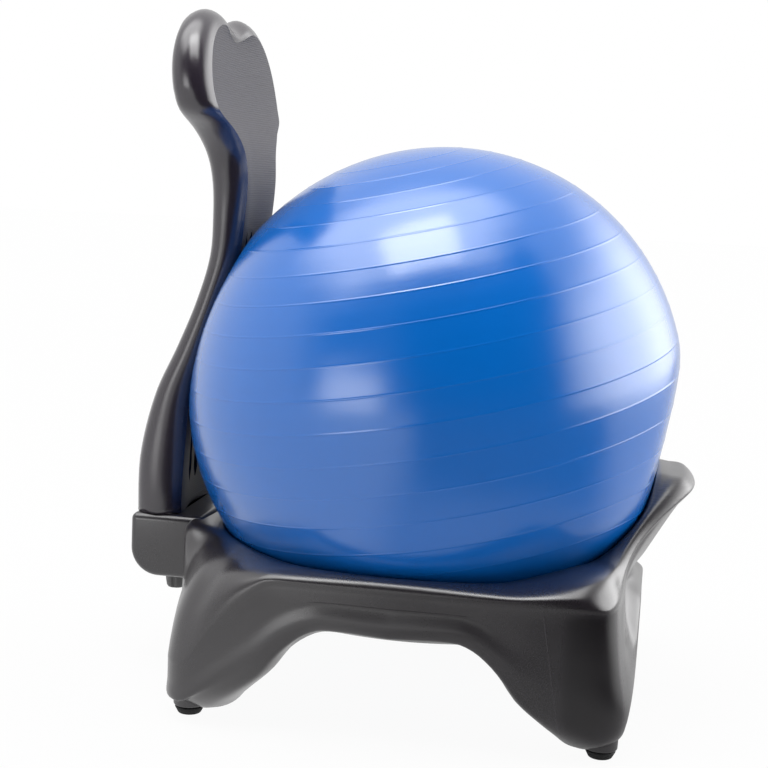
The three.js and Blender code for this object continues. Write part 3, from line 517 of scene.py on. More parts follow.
class Finish:
    """A material, or a world, and the few ways that its nodes are made."""

    def __init__(self, name, world=False):
        self.owner = (bpy.data.worlds if world else bpy.data.materials).new(name)
        self.owner.use_nodes = True
        self.tree = self.owner.node_tree
        self.tree.nodes.clear()

    def node(self, kind, settings=None, inputs=None, output=0):
        made = self.tree.nodes.new(kind)
        for key, value in (settings or {}).items():
            setattr(made, key, value)
        for key, value in (inputs or {}).items():
            socket = made.inputs[key]
            if isinstance(value, Wire):
                self.tree.links.new(value.socket, socket)
            else:
                socket.default_value = value
        return Wire(self, made.outputs[output])

    def math(self, operation, *values):
        return self.node("ShaderNodeMath", {"operation": operation}, dict(enumerate(values)))

    def ramp_number(self, value, low, high, to_low=0.0, to_high=1.0):
        """A number taken smoothly from one range to another, held at its ends."""
        ends = {"From Min": low, "From Max": high, "To Min": to_low, "To Max": to_high}
        return self.node("ShaderNodeMapRange", {"interpolation_type": "SMOOTHSTEP"}, {"Value": value, **ends})

    def place(self):
        return self.node("ShaderNodeTexCoord", output="Object")

    def axes(self):
        made = self.node("ShaderNodeSeparateXYZ", None, {"Vector": self.place()})
        return [Wire(self, socket) for socket in made.socket.node.outputs]

    def scaled(self, scale):
        return self.node("ShaderNodeMapping", None, {"Vector": self.place(), "Scale": scale})

    def noise(self, size, detail=2.0, roughness=0.5, where=None):
        kind = {"Detail": detail, "Roughness": roughness}
        where = where or self.place()
        return self.node("ShaderNodeTexNoise", None, {"Vector": where, "Scale": 1 / size, **kind})

    def cells(self, size, where):
        """Distance from the middle of the cell that a place lies in."""
        return self.node("ShaderNodeTexVoronoi", None, {"Vector": where, "Scale": 1 / size}, "Distance")

    def blend(self, share, first, second):
        inputs = {0: share, 6: first, 7: second}
        return self.node("ShaderNodeMix", {"data_type": "RGBA"}, inputs, 2)

    def dot(self, wire, direction):
        inputs = {0: wire, 1: direction}
        return self.node("ShaderNodeVectorMath", {"operation": "DOT_PRODUCT"}, inputs, "Value")

    def viewed(self):
        """One for the camera's rays, also through glass, which see the white background."""
        kinds = ("Is Camera Ray", "Is Transmission Ray")
        return self.math("MAXIMUM", *(self.node("ShaderNodeLightPath", output=kind) for kind in kinds))

    def light(self, strength):
        return self.node("ShaderNodeBackground", None, {"Color": (1, 1, 1, 1), "Strength": strength})

    def bump(self, height, depth, strength=1.0, normal=None):
        inputs = {"Height": height, "Distance": depth, "Strength": strength}
        if normal is not None:
            inputs["Normal"] = normal
        return self.node("ShaderNodeBump", None, inputs)

    def surface(self, **inputs):
        """Ends the finish in a Principled shader; names are given with spaces as underscores."""
        named = {key.replace("_", " "): value for key, value in inputs.items()}
        shader = self.node("ShaderNodeBsdfPrincipled", None, named)
        return self.ended(shader)

    def ended(self, shader, kind="ShaderNodeOutputMaterial"):
        made = self.tree.nodes.new(kind)
        self.tree.links.new(shader.socket, made.inputs["Surface"])
        return self.owner


def rgba(colour, level=1.0):
    return (colour[0] * level, colour[1] * level, colour[2] * level, 1)


# Weight of the clear coat on moulded plastic.
MOULDED_COAT = 0.7
# On the base, in metres: the crease on the front legs, painted as a highlight line, and how that leans, and
# where the polish and painted dark reflection in front of the crease, the legs' sides and tops, and the lines
# in the lip come in.
CREASE_HIGHLIGHT_Y = -0.1665
CREASE_HIGHLIGHT_HEIGHT = 0.1
CREASE_HIGHLIGHT_LEAN = 0.17
POLISH_AND_DARK_REFLECTION_FROM = (-0.172, -0.192)
POLISH_AND_DARK_REFLECTION_TO = (-0.25, -0.225)
LEG_SIDE = (0.2, 0.21)
LEG_TOP = (0.14, 0.15)
LIP_LINES_FRONT = (-0.2, -0.235)
LIP_LINES_HEIGHT = (0.16, 0.185)


def moulded_finish(name, colour, gloss, grain, for_base=False):
    """Satin moulded plastic: faint flow marks, a fine eroded grain and small scuffs; on the base also lines
    in the lip, a painted highlight line along the front legs' crease, and real polish with a painted dark
    reflection on their corners.
    """
    finish = Finish(name)
    clouds = finish.noise(0.09, 3)
    specks = finish.noise(0.0011, 2, 0.6)
    grain_height = finish.noise(grain, 2, 0.55)
    scuffs = finish.ramp_number(finish.noise(0.013, 6, 0.75), 0.62, 0.8)
    tint = finish.blend(clouds, rgba(colour, 0.9), rgba(colour, 1.1))
    tint = finish.blend(specks * 0.35, tint, rgba(colour, 1.35))
    rough = gloss + clouds * 0.05 + scuffs * 0.08 + (specks - 0.5) * 0.06
    normal = finish.bump(grain_height, 0.00008, 0.55)
    coat = MOULDED_COAT
    if for_base:
        x, y, z = finish.axes()
        lined = finish.ramp_number(y, *LIP_LINES_FRONT) * finish.ramp_number(z, *LIP_LINES_HEIGHT)
        lines = finish.noise(0.001, 2, 0.6, finish.scaled((0.02, 0.02, 1.9)))
        combed = finish.noise(0.001, 1, 0.5, finish.scaled((0.012, 0.012, 0.55)))
        tint = finish.blend(lined * lines * 0.5, tint, rgba(colour, 1.9))
        rough = rough + lined * 0.05
        normal = finish.bump((lines + combed) * lined, 0.00035, 0.8, normal)
        below = 1 - finish.ramp_number(z, *LEG_TOP)
        leg = below * finish.ramp_number(finish.math("ABSOLUTE", x), *LEG_SIDE)
        # Painted highlight: a lighter line along the crease on the front legs, over a real small bump.
        off_crease_highlight = finish.math("ABSOLUTE", y - CREASE_HIGHLIGHT_Y + (CREASE_HIGHLIGHT_HEIGHT - z) * CREASE_HIGHLIGHT_LEAN)
        crease_bump_and_painted_highlight = leg * (1 - finish.ramp_number(off_crease_highlight, 0.0003, 0.0009))
        tint = finish.blend(crease_bump_and_painted_highlight * 0.5, tint, rgba(colour, 2.2))
        normal = finish.bump(crease_bump_and_painted_highlight, 0.0003, 0.9, normal)
        # Painted dark reflection: the front legs' corners are darkened in colour; the lower roughness and
        # coat there are the real polish.
        polish_and_painted_dark_reflection = leg * finish.ramp_number(y, *POLISH_AND_DARK_REFLECTION_FROM) * finish.ramp_number(y, *POLISH_AND_DARK_REFLECTION_TO)
        polish_and_painted_dark_reflection = polish_and_painted_dark_reflection * finish.ramp_number(z, 0.01, 0.05)
        tint = finish.blend(polish_and_painted_dark_reflection * 0.7, tint, rgba(colour, 0.25))
        rough = rough - polish_and_painted_dark_reflection * 0.1
        forward = finish.ramp_number(y, -0.09, -0.16) * below
        coat = finish.math("MAXIMUM", MOULDED_COAT - polish_and_painted_dark_reflection * MOULDED_COAT - forward * 0.3, 0.0)
    return finish.surface(
        Base_Color=tint, Roughness=rough, Normal=normal, Specular_IOR_Level=0.9,
        Coat_Weight=coat, Coat_Roughness=gloss, Coat_IOR=1.5,
    )


def grained_finish(name, colour):
    """The backrest's front panel: a fine square grid of dots, duller than the sides."""
    finish = Finish(name)
    grid_pitch = 0.0024
    x, _, z = finish.axes()
    across, up = (finish.math("SINE", axis * (2 * math.pi / grid_pitch)) for axis in (x, z))
    dots = finish.ramp_number(across * 0.35 + up * 0.65, -0.5, 0.6)
    clouds = finish.noise(0.07, 3)
    specks = finish.noise(0.0016, 2, 0.6)
    tint = finish.blend(clouds, rgba(colour, 0.93), rgba(colour, 1.07))
    tint = finish.blend(dots * 0.7, tint, rgba(colour, 0.55))
    tint = finish.blend(specks * 0.25, tint, rgba(colour, 1.25))
    rough = 0.5 + clouds * 0.06 + dots * 0.05
    normal = finish.bump(dots + specks * 0.4, 0.00022, 0.6)
    return finish.surface(Base_Color=tint, Roughness=rough, Normal=normal, Specular_IOR_Level=0.5)


def ball_finish(name, colour):
    """Blown vinyl: a blue that shifts a little over the skin, fine mottling and faint handling marks."""
    finish = Finish(name)
    clouds = finish.noise(0.16, 3, 0.55)
    mottling = finish.noise(0.0026, 3, 0.6)
    marks = finish.ramp_number(finish.noise(0.02, 7, 0.8), 0.6, 0.78)
    hair = finish.cells(0.016, finish.scaled((1, 1, 3.2)))
    scratch = (1 - finish.ramp_number(hair, 0.0, 0.05)) * marks
    tint = finish.blend(clouds, rgba(colour, 0.94), rgba(colour, 1.06))
    tint = finish.blend(scratch * 0.4, tint, rgba((0.3, 0.5, 0.85)))
    rough = 0.18 + mottling * 0.06 + marks * 0.07
    normal = finish.bump(mottling * 0.6 + finish.noise(0.012, 2) * 0.9, 0.00022, 0.35)
    return finish.surface(
        Base_Color=tint, Roughness=rough, Normal=normal, Specular_IOR_Level=1.0,
        Coat_Weight=0.75, Coat_Roughness=0.18, Coat_IOR=1.5,
    )


def rubber_finish(name, colour):
    """Matt rubber with floor dust in its grain."""
    finish = Finish(name)
    dust = finish.noise(0.004, 5, 0.7)
    tint = finish.blend(finish.ramp_number(dust, 0.5, 0.75), rgba(colour), rgba(colour, 2.2))
    normal = finish.bump(finish.noise(0.0008, 2), 0.0001, 0.5)
    return finish.surface(Base_Color=tint, Roughness=0.62 + dust * 0.2, Normal=normal)


def steel_finish(name, colour):
    """Zinc plating with fine turning lines and a few dull patches."""
    finish = Finish(name)
    lines = finish.noise(0.001, 2, 0.6, finish.scaled((0.3, 0.3, 4)))
    dull = finish.ramp_number(finish.noise(0.006, 4), 0.5, 0.7)
    tint = finish.blend(dull * 0.4, rgba(colour), rgba(colour, 0.7))
    normal = finish.bump(lines, 0.00006, 0.5)
    return finish.surface(Base_Color=tint, Roughness=0.26 + dull * 0.2, Metallic=1.0, Normal=normal)


def colour_property(name, pieces, default):
    return bpy.props.FloatVectorProperty(
        name=name, description="Colour of " + pieces, subtype="COLOR", min=0, max=1, default=default,
    )


class ChairColours(bpy.types.PropertyGroup):
    base: colour_property("Base", "the cradle base", (0.017, 0.0138, 0.018))
    backrest: colour_property("Backrest", "the backrest's sides and rear", (0.024, 0.0185, 0.028))
    panel: colour_property("Front panel", "the backrest's grained front", (0.062, 0.058, 0.069))
    ball: colour_property("Ball", "the ball", (0.0003, 0.155, 0.62))
    rubber: colour_property("Rubber", "the feet", (0.018, 0.018, 0.019))
    knob: colour_property("Knobs", "the hand knobs", (0.03, 0.029, 0.031))
    steel: colour_property("Steel", "studs, washers and inserts", (0.6, 0.61, 0.62))
    plug: colour_property("Plug", "the valve plug", (0.75, 0.75, 0.72))


class ChairDetails(bpy.types.PropertyGroup):
    base_columns: bpy.props.IntProperty(
        name="Base columns", description="Steps round the cradle base", default=264, min=48,
    )
    base_steps: bpy.props.IntProperty(
        name="Base steps", description="Steps between two points of the base's section", default=7, min=1,
    )
    ball_columns: bpy.props.IntProperty(
        name="Ball columns", description="Steps round the ball", default=180, min=24,
    )
    rib_height: bpy.props.FloatProperty(
        name="Ring height", description="How far the ball's moulded rings stand out", default=0.00024,
        unit="LENGTH", precision=5,
    )
    rib_width: bpy.props.FloatProperty(
        name="Ring width", description="Width of one moulded ring", default=0.0021,
        unit="LENGTH", precision=5,
    )
    floor_size: bpy.props.FloatProperty(
        name="Floor size", description="Length and width of the floor", default=30.0, unit="LENGTH",
    )


def colours():
    return bpy.context.scene.chair_colours


def details():
    return bpy.context.scene.chair_details


class CHAIR_OT_base(bpy.types.Operator):
    """Builds the cradle base: the ring with its lip and legs, and the rear block"""

    bl_idname = "chair.base"
    bl_label = "Cradle base"

    def execute(self, context):
        columns, steps = details().base_columns, details().base_steps
        tube_radius, tube_distance = 0.04, 0.2
        rows = len(cradle_section(0.0)) * steps

        def ring(shape):
            """A tube spun round the axis, whose rows and columns then take the cradle's sections."""
            bmesh.ops.create_circle(shape, segments=rows, radius=tube_radius)
            upright = Matrix.Rotation(math.pi / 2, 4, "X")
            bmesh.ops.transform(shape, matrix=upright, verts=shape.verts)
            bmesh.ops.translate(shape, verts=shape.verts, vec=(tube_distance, 0, 0))
            bmesh.ops.spin(
                shape, geom=shape.verts[:] + shape.edges[:], cent=(0, 0, 0), axis=(0, 0, 1),
                angle=2 * math.pi, steps=columns, use_merge=True, use_duplicate=False,
            )
            sections = {}
            for vert in shape.verts:
                azimuth = math.degrees(math.atan2(vert.co.y, vert.co.x)) % 360
                column = round(azimuth * columns / 360) % columns
                outward = math.hypot(vert.co.x, vert.co.y) - tube_distance
                row = round(math.atan2(vert.co.z, -outward) / (2 * math.pi) * rows) % rows
                if column not in sections:
                    sections[column] = rounded_section(cradle_section(360 * column / columns), steps)
                radius, height = sections[column][row]
                turn = 2 * math.pi * column / columns
                point = clear_of_ball(Vector((radius * math.cos(turn), radius * math.sin(turn), height)))
                point.z = max(point.z, LEG_BOTTOM)
                vert.co = to_row(point)

        def block(shape):
            bmesh.ops.create_cube(shape, size=1)
            front = cradle_radius_at(BLOCK_TOP) + EDGE_RADIUS / 2
            low = to_row((-BLOCK_WIDTH / 2, front, BLOCK_BOTTOM))
            high = to_row((BLOCK_WIDTH / 2, BLOCK_REAR, BLOCK_TOP))
            for vert in shape.verts:
                vert.co = Vector(low[axis] if vert.co[axis] < 0 else high[axis] for axis in range(3))
            under = [
                edge for edge in shape.edges
                if all((v.co.yz - Vector((high.y, low.z))).length < SAME_PLACE for v in edge.verts)
            ]
            rounded(shape, under, BLOCK_LOWER_RADIUS, segments=14)
            sharp = [edge for edge in shape.edges if edge.calc_face_angle(0) > SHARP_ANGLE]
            rounded(shape, sharp, BLOCK_EDGE_RADIUS, segments=5)

        plastic = moulded_finish("base moulded plastic", colours().base, 0.26, 0.0009, for_base=True)
        new_piece("cradle_ring", ring, "base", ["cradle_base"], [plastic])
        new_piece("rear_block", block, "base", ["cradle_base"], [plastic])
        return {"FINISHED"}


class CHAIR_OT_feet(bpy.types.Operator):
    """Builds the leg collars and the rubber glides under them"""

    bl_idname = "chair.feet"
    bl_label = "Feet"

    def execute(self, context):
        plastic = moulded_finish("collar plastic", colours().base, 0.4, 0.0009)
        rubber = rubber_finish("glide rubber", colours().rubber)
        collar_round, face_round, flange_round = 1.5, 2.2, 1.3
        collar = (
            [(0, COLLAR_FOOT)]
            + arc((COLLAR_RADIUS - collar_round, COLLAR_FOOT + collar_round), collar_round, -90, 0, 4)
            + [(COLLAR_RADIUS + 0.5, 30), (COLLAR_RADIUS - 1, COLLAR_TOP - 2), (0, COLLAR_TOP)]
        )
        glide = (
            [(0, 0)] + arc((GLIDE_FACE_RADIUS, face_round), face_round, -90, -20, 5)
            + arc((GLIDE_RADIUS - flange_round, GLIDE_THICKNESS - flange_round), flange_round, -10, 90, 5)
            + [(GLIDE_STEM_RADIUS, GLIDE_THICKNESS + 0.1), (GLIDE_STEM_RADIUS, GLIDE_STEM_TOP - 1)]
            + [(0, GLIDE_STEM_TOP)]
        )
        for leg in ("front_left", "front_right", "rear_left", "rear_right"):
            x = -FOOT_X if leg.endswith("left") else FOOT_X
            centre = to_row((x, -FOOT_Y if leg.startswith("front") else FOOT_Y, 0))

            def collar_shape(shape):
                turned(shape, collar, steps=40, centre=centre)

            def glide_shape(shape):
                turned(shape, glide, steps=40, centre=centre)

            new_piece("leg_collar_" + leg, collar_shape, "base", [], [plastic])
            new_piece("glide_" + leg, glide_shape, "base", ["foot_" + leg], [rubber])
        return {"FINISHED"}


def backrest_point(row, across, inset, through):
    """A point of the backrest: rows count up the side and round the corner of a lobe."""
    climb = max(row - CLIMB_ROWS, 0) / CORNER_ROWS
    lift = math.sin(climb * math.pi / 2)
    reach = LOBE_CORNER_RADIUS - inset
    below = mix(BACKREST_BOTTOM, LOBE_CORNER_HEIGHT, min(row / CLIMB_ROWS, 1))
    share = (below - BACKREST_BOTTOM) / BACKREST_HEIGHT
    side_half = LOBE_HALF_WIDTH * read_curve(BACKREST_WIDTH, share) - inset
    half_width = side_half - reach * (1 - math.cos(climb * math.pi / 2))
    dip = TOP_DIP * lift**4 * (1 - across**2) ** 2
    height = below + reach * lift - dip
    front, thickness = backrest_line(height)
    hollow = FRONT_HOLLOW * (1 - across**2) ** 2 if through == 0 else 0
    crown = REAR_CROWN * (1 - across**2) if through == 1 else 0
    depth = EDGE_SHARES[-1][2] if through == 1 else through
    return Vector((half_width * across, front + thickness * depth + hollow + crown, height))


class CHAIR_OT_backrest(bpy.types.Operator):
    """Builds the backrest board with its grained front panel, rounded edge and three slots"""

    bl_idname = "chair.backrest"
    bl_label = "Backrest"

    def execute(self, context):
        rows = CLIMB_ROWS + CORNER_ROWS
        across_steps, up_steps, bands = 40, 4 * rows, 12
        cut_overrun = 5

        def board(shape):
            """A grid drawn up by one: its three ways become across, up and through the board."""
            bmesh.ops.create_grid(shape, x_segments=across_steps, y_segments=up_steps, size=1)
            raised(shape, shape.faces[:])
            walls = [edge for edge in shape.edges if abs(edge.verts[0].co.z - edge.verts[1].co.z) > 0.5]
            bmesh.ops.subdivide_edges(shape, edges=walls, cuts=bands - 1, use_grid_fill=False)
            for face in shape.faces:
                if all(vert.co.z < 0.01 for vert in face.verts):
                    face.material_index = 1
            for edge in shape.edges:
                outer = all(max(abs(vert.co.x), abs(vert.co.y)) > 0.999 for vert in edge.verts)
                edge.smooth = not (outer and all(vert.co.z < 0.01 for vert in edge.verts))
            for vert in shape.verts:
                across, up, through = vert.co
                row = (up + 1) / 2 * rows
                if through < 1e-4:
                    point = backrest_point(row, across, BEVEL_WIDTH, 0)
                elif through > 1 - 1e-4:
                    point = backrest_point(row, across, BEVEL_WIDTH, 1)
                else:
                    inset = BEVEL_WIDTH * read_curve(EDGE_SHARES, through, 1)
                    point = backrest_point(row, across, inset, read_curve(EDGE_SHARES, through, 2))
                vert.co = to_row(point)

        def slots(shape):
            for slot in (-1, 0, 1):
                made = bmesh.ops.create_grid(shape, x_segments=2, y_segments=24, size=0.5)
                front_faces = list({face for vert in made["verts"] for face in vert.link_faces})
                for vert in made["verts"] + raised(shape, front_faces):
                    side, climb, through = vert.co
                    share = climb + 0.5
                    height = BACKREST_BOTTOM + SLOT_ABOVE_FOOT + SLOT_LENGTH * share
                    end = min(share, 1 - share) * SLOT_LENGTH
                    # A slot's ends are round, down to a fifth of its width.
                    narrow = math.sqrt(max(1 - max(1 - end / (SLOT_WIDTH / 2), 0) ** 2, 0.04))
                    front, _ = backrest_line(height)
                    x = slot * SLOT_PITCH + SLOT_WIDTH * narrow * side
                    y = mix(front - cut_overrun, front + FRONT_HOLLOW + SLOT_DEPTH, through)
                    vert.co = to_row((x, y, height))

        plastic = moulded_finish("backrest moulded plastic", colours().backrest, 0.22, 0.0012)
        panel = grained_finish("backrest grained panel", colours().panel)
        board_piece = new_piece(
            "backrest_board", board, "backrest_board", ["backrest"], [plastic, panel],
        )
        cutter = new_piece("slot_cutter", slots, "backrest_board", [], [plastic])
        cut = board_piece.modifiers.new("slots", "BOOLEAN")
        cut.operation = "DIFFERENCE"
        cut.solver = "EXACT"
        cut.object = cutter
        baked_modifiers(board_piece)
        bpy.data.objects.remove(cutter)
        return {"FINISHED"}


def ball_point(direction, depth):
    point = direction * (ball_reach(direction) - depth)
    point.z += BALL_CENTRE
    front, _ = backrest_line(point.z)
    beyond = max(abs(point.x) - WAIST_HALF_WIDTH, 0)
    limit = front - PRESS_GAP - depth + beyond**2 / (2 * WAIST_HALF_WIDTH)
    if point.y > 0 and point.z > BALL_CENTRE - BALL_RADIUS / 2:
        point.y = soft_minimum(point.y, limit, PRESS_SOFTNESS)
    return point


class CHAIR_OT_ball(bpy.types.Operator):
    """Builds the inflated ball with its moulded rings, pressed against the lip and the backrest"""

    bl_idname = "chair.ball"
    bl_label = "Ball"

    def execute(self, context):
        half_rib = details().rib_width / 2 * 1000 / BALL_RADIUS
        height = details().rib_height * 1000
        cap_rows = 7
        first = math.radians((180 - RING_SPAN) / 2)
        spacing = math.radians(RING_SPAN) / (RING_COUNT - 1)
        cap = [(first * step / cap_rows, 0.0) for step in range(cap_rows)]
        polars = cap[:]
        for ring in range(RING_COUNT):
            centre = first + ring * spacing
            polars += [(centre + half_rib * side, height * rise) for side, rise in
                       ((-1.6, 0), (-1, 0.05), (-0.45, 0.8), (0, 1), (0.45, 0.8), (1, 0.05), (1.6, 0))]
            if ring < RING_COUNT - 1:
                polars += [(centre + spacing * share, 0.0) for share in (0.35, 0.65)]
        polars += [(math.pi - polar, 0.0) for polar, _ in reversed(cap)]
        rows = len(polars) - 1
        tilt = Vector((0, 0, 1)).rotation_difference(RING_AXIS)

        def skin(shape):
            """A sphere whose rows then move to the rings' edges and rise with them."""
            bmesh.ops.create_uvsphere(shape, u_segments=details().ball_columns, v_segments=rows, radius=1)
            for vert in shape.verts:
                polar = math.acos(min(max(vert.co.z, -1), 1))
                turn = math.atan2(vert.co.y, vert.co.x)
                polar, rise = polars[round(polar / math.pi * rows)]
                level = math.sin(polar)
                direction = Vector((level * math.cos(turn), level * math.sin(turn), math.cos(polar)))
                direction.rotate(tilt)
                vert.co = to_row(ball_point(direction, -rise))

        vinyl = ball_finish("ball vinyl", colours().ball)
        new_piece("ball_skin", skin, "inflated_ball", ["ball"], [vinyl])
        return {"FINISHED"}


class CHAIR_OT_plug(bpy.types.Operator):
    """Builds the valve plug on the side of the ball"""

    bl_idname = "chair.plug"
    bl_label = "Valve plug"

    def execute(self, context):
        plastic = moulded_finish("plug plastic", colours().plug, 0.34, 0.0007)
        head, head_round = BALL_RADIUS + PLUG_FIT, 0.8
        tip, face = head - PLUG_STEM_LENGTH, head + PLUG_HEAD_THICKNESS
        profile = (
            [(0, tip), (3, tip), (PLUG_STEM_RADIUS, head - 3.3), (PLUG_STEM_RADIUS, head)]
            + [(PLUG_HEAD_RADIUS, head)]
            + arc((PLUG_HEAD_RADIUS - head_round, face - head_round), head_round, 0, 90, 4)
            + [(3, face), (2.2, face - 0.5), (0, face - 0.5)]
        )
        direction = direction_at(VALVE_AZIMUTH, VALVE_ELEVATION)
        turn = Vector((0, 0, 1)).rotation_difference(direction).to_matrix().to_4x4()

        def plug(shape):
            turned(shape, profile, steps=32, centre=(0, 0, 0))
            bmesh.ops.transform(shape, matrix=turn, verts=shape.verts)
            bmesh.ops.translate(shape, verts=shape.verts, vec=to_row((0, 0, BALL_CENTRE)))

        new_piece("valve_stopper", plug, "plug", ["valve_plug"], [plastic])
        return {"FINISHED"}


class CHAIR_OT_knobs(bpy.types.Operator):
    """Builds the two fluted hand knobs and finishes the studs, washers, inserts and sleeves"""

    bl_idname = "chair.knobs"
    bl_label = "Knobs"

    def execute(self, context):
        plastic = moulded_finish("knob plastic", colours().knob, 0.4, 0.0007)
        sleeve = moulded_finish("sleeve plastic", colours().knob, 0.5, 0.001)
        steel = steel_finish("zinc steel", colours().steel)
        top, bottom = KNOB_TOP, KNOB_TOP - KNOB_HEIGHT
        wide, narrow = KNOB_DIAMETER / 2, KNOB_TIP_DIAMETER / 2
        tip_round, top_round, dimple = 2.2, 1.5, 0.6
        profile = (
            [(0, bottom + dimple), (narrow * 0.55, bottom + dimple), (narrow * 0.62, bottom)]
            + arc((narrow - tip_round, bottom + tip_round), tip_round, -90, -5, 5)
            + [(mix(narrow, wide, share), mix(bottom, top, share)) for share in (0.3, 0.5, 0.7)]
            + arc((wide - top_round, top - top_round), top_round, 5, 90, 5) + [(0, top)]
        )
        for side, across in (("left", -1), ("right", 1)):
            centre = to_row((across * KNOB_SPACING / 2, BOLT_Y, 0))

            def knob(shape):
                turned(shape, profile, steps=72, centre=(0, 0, 0))
                for vert in shape.verts:
                    radius, height = math.hypot(vert.co.x, vert.co.y) * 1000, vert.co.z * 1000
                    wave = max(math.cos(KNOB_FLUTES * math.atan2(vert.co.y, vert.co.x)), 0) ** 1.5
                    outside = smooth_step(radius, narrow * 0.75, narrow)
                    below_top = 1 - smooth_step(height, top - 4, top - 1)
                    shrink = 1 - KNOB_FLUTE_DEPTH * wave * outside * below_top
                    vert.co.x *= shrink
                    vert.co.y *= shrink
                bmesh.ops.translate(shape, verts=shape.verts, vec=centre)

            cad_nodes = ["knob_" + side]
            new_piece("hand_grip_" + side, knob, "hand_knob_" + side, cad_nodes, [plastic])
        kept = {"knob_stud": steel, "knob_washer": steel, "backrest_insert": steel, "foot_sleeve": sleeve}
        for node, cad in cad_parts.items():
            for start, material in kept.items():
                if node.startswith(start):
                    cad.data.materials.clear()
                    cad.data.materials.append(material)
        return {"FINISHED"}


# The photograph is a square of so many pixels.
PICTURE = 768


def camera_basis():
    """The camera's place and turn, and its focal length in pixels, fitted to the photograph."""
    yaw, dip, roll = math.radians(10.038), math.radians(7.684), math.radians(2.619)
    forward = Vector((math.cos(yaw) * math.cos(dip), math.sin(yaw) * math.cos(dip), -math.sin(dip)))
    right = Vector((math.sin(yaw), -math.cos(yaw), 0))
    up = right.cross(forward)
    focal, distance = 1527.17, 1.627
    ball_right, ball_down = 37.4, 8.62
    target = Vector((0, 0, BALL_CENTRE / 1000))
    place = target - forward * distance + (up * ball_down - right * ball_right) / focal * distance
    rolled_right = right * math.cos(roll) + up * math.sin(roll)
    rolled_up = up * math.cos(roll) - right * math.sin(roll)
    return place, rolled_right, rolled_up, forward, focal


def mirrored_direction(pixel, place, right, up, forward, focal):
    """Where the ball, seen at a pixel of the picture, looks by its reflection."""
    across, above = pixel[0] - PICTURE / 2, PICTURE / 2 - pixel[1]
    ray = (forward + right * (across / focal) + up * (above / focal)).normalized()
    centre = to_row((0, 0, BALL_CENTRE))
    along = ray.dot(centre - place)
    inside = (BALL_RADIUS / 1000) ** 2 - ((centre - place).length_squared - along**2)
    hit = place + ray * (along - math.sqrt(inside))
    return ray.reflect((hit - centre).normalized())


# Light from the surroundings. Each window is (pixel of the picture where the ball shows its middle,
# width and height in radians, softness of its edge, strength); one weaker than the room is a dark place.
ROOM_LIGHT = 0.75
WINDOWS = (
    ((389, 335), 1.3, 1.0, 0.4, 0.1),
    ((488, 365), 1.35, 2.0, 0.2, 0.0),
    ((402, 228), 0.8, 1.1, 0.3, 3.1),
    ((634, 345), 1.15, 0.8, 0.6, 3.7),
    ((347, 400), 0.48, 0.44, 0.45, 2.9),
)


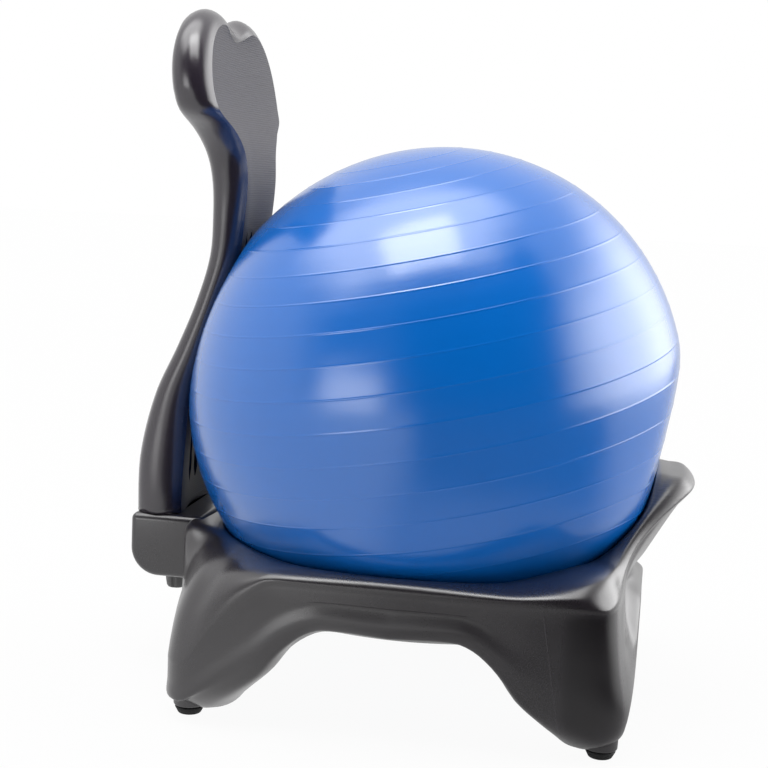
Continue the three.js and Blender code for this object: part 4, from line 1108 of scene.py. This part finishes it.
class CHAIR_OT_stage(bpy.types.Operator):
    """Adds the floor, the lit surroundings and the camera at the photograph's angle"""

    bl_idname = "chair.stage"
    bl_label = "Stage"

    def execute(self, context):
        scene = context.scene
        place, right, up, forward, focal = camera_basis()
        lens = bpy.data.cameras.new("chair camera")
        lens.lens = focal / PICTURE * lens.sensor_width
        lens.clip_start, lens.clip_end = 0.05, 60
        camera = added("chair camera", lens)
        turn = Matrix((right, up, -forward)).transposed().to_4x4()
        camera.matrix_world = Matrix.Translation(place) @ turn
        scene.camera = camera
        self.floor()
        self.lobe_lamp(right, up, forward)
        self.surroundings(scene, (place, right, up, forward, focal))
        scene.view_settings.view_transform = "Standard"
        return {"FINISHED"}

    def floor(self):
        """White to the camera but for shadows; the ball mirrors it pale, and dark on the camera's side."""
        mesh = bpy.data.meshes.new("studio_floor")
        shape = bmesh.new()
        bmesh.ops.create_grid(shape, x_segments=2, y_segments=2, size=details().floor_size / 2)
        shape.to_mesh(mesh)
        shape.free()
        floor = added("studio_floor", mesh)
        finish = Finish("studio floor")
        seen = finish.viewed()
        mirrored = finish.node("ShaderNodeLightPath", output="Is Glossy Ray")
        white, pale, dark, grey = (rgba((1, 1, 1), level) for level in (1, 0.75, 0.02, 0.7))
        x, y, _ = finish.axes()
        near = finish.ramp_number(finish.math("SQRT", x * x + y * y), 0.4, 0.82, 0.5, 0.0)
        beside = finish.math("MAXIMUM", finish.ramp_number(y, -0.15, 0.15), finish.ramp_number(x, -0.3, 0.1))
        reflected = finish.blend(finish.math("MAXIMUM", near, beside), dark, pale)
        paint = finish.node("ShaderNodeBsdfDiffuse", None, {"Color": grey})
        glow = finish.node("ShaderNodeEmission", None, {"Color": finish.blend(seen, reflected, white)})
        share = finish.math("MAXIMUM", seen * 0.95, mirrored)
        shown = finish.node("ShaderNodeMixShader", None, {0: share, 1: paint, 2: glow})
        mesh.materials.append(finish.ended(shown))

    def lobe_lamp(self, right, up, forward):
        """A small softbox close to the near lobe, which shines on its side."""
        distance = 0.75
        data = bpy.data.lights.new("lobe softbox", "AREA")
        data.shape = "RECTANGLE"
        data.size, data.size_y = 0.5, 0.45
        data.energy = 2.7
        lamp = added("lobe softbox", data)
        lobe = to_row((-LOBE_HALF_WIDTH, FOOT_FRONT - BACKREST_SWEEP / 2, LOBE_CORNER_HEIGHT))
        towards = (up * 0.8 + right * 0.1 - forward * 0.42).normalized()
        lamp.location = lobe + towards * distance
        lamp.rotation_mode = "QUATERNION"
        lamp.rotation_quaternion = towards.to_track_quat("Z", "Y")

    def surroundings(self, scene, views):
        """White to the camera; to the chair, a pale room with lit windows and a dark camera side."""
        finish = Finish("studio", world=True)
        towards = finish.node("ShaderNodeTexCoord", output="Generated")
        room = finish.light(ROOM_LIGHT)
        for pixel, width, height, edge, strength in WINDOWS:
            middle = mirrored_direction(pixel, *views)
            across = Vector((0, 0, 1)).cross(middle).normalized()
            up = middle.cross(across)
            ahead = finish.dot(towards, middle)
            share = finish.ramp_number(ahead, 0.0, 0.2)
            for axis, half in ((across, width / 2), (up, height / 2)):
                out = finish.math("ABSOLUTE", finish.math("ARCTAN2", finish.dot(towards, axis), ahead))
                share = share * finish.ramp_number(out, half * (1 + edge), half * (1 - edge))
            room = finish.node("ShaderNodeMixShader", None, {0: share, 1: room, 2: finish.light(strength)})
        seen = finish.viewed()
        shown = finish.node("ShaderNodeMixShader", None, {0: seen, 1: room, 2: finish.light(1.0)})
        scene.world = finish.ended(shown, "ShaderNodeOutputWorld")


OPERATORS = (
    CHAIR_OT_base, CHAIR_OT_feet, CHAIR_OT_backrest, CHAIR_OT_ball, CHAIR_OT_plug, CHAIR_OT_knobs,
    CHAIR_OT_stage,
)


class CHAIR_PT_panel(bpy.types.Panel):
    """Lists the chair's colours, details and building steps"""

    bl_label = "Ball Chair"
    bl_idname = "CHAIR_PT_panel"
    bl_space_type = "VIEW_3D"
    bl_region_type = "UI"
    bl_category = "Ball Chair"

    def draw(self, context):
        for group in (context.scene.chair_colours, context.scene.chair_details):
            for name in group.__annotations__:
                self.layout.prop(group, name)
        for operator in OPERATORS:
            self.layout.operator(operator.bl_idname)


CLASSES = (ChairColours, ChairDetails, *OPERATORS, CHAIR_PT_panel)


def register():
    for made in CLASSES:
        bpy.utils.register_class(made)
    bpy.types.Scene.chair_colours = bpy.props.PointerProperty(type=ChairColours)
    bpy.types.Scene.chair_details = bpy.props.PointerProperty(type=ChairDetails)


def unregister():
    del bpy.types.Scene.chair_details
    del bpy.types.Scene.chair_colours
    for made in reversed(CLASSES):
        bpy.utils.unregister_class(made)


def main():
    register()
    for operator in OPERATORS:
        group, name = operator.bl_idname.split(".")
        getattr(getattr(bpy.ops, group), name)()


if __name__ == "__main__":
    main()
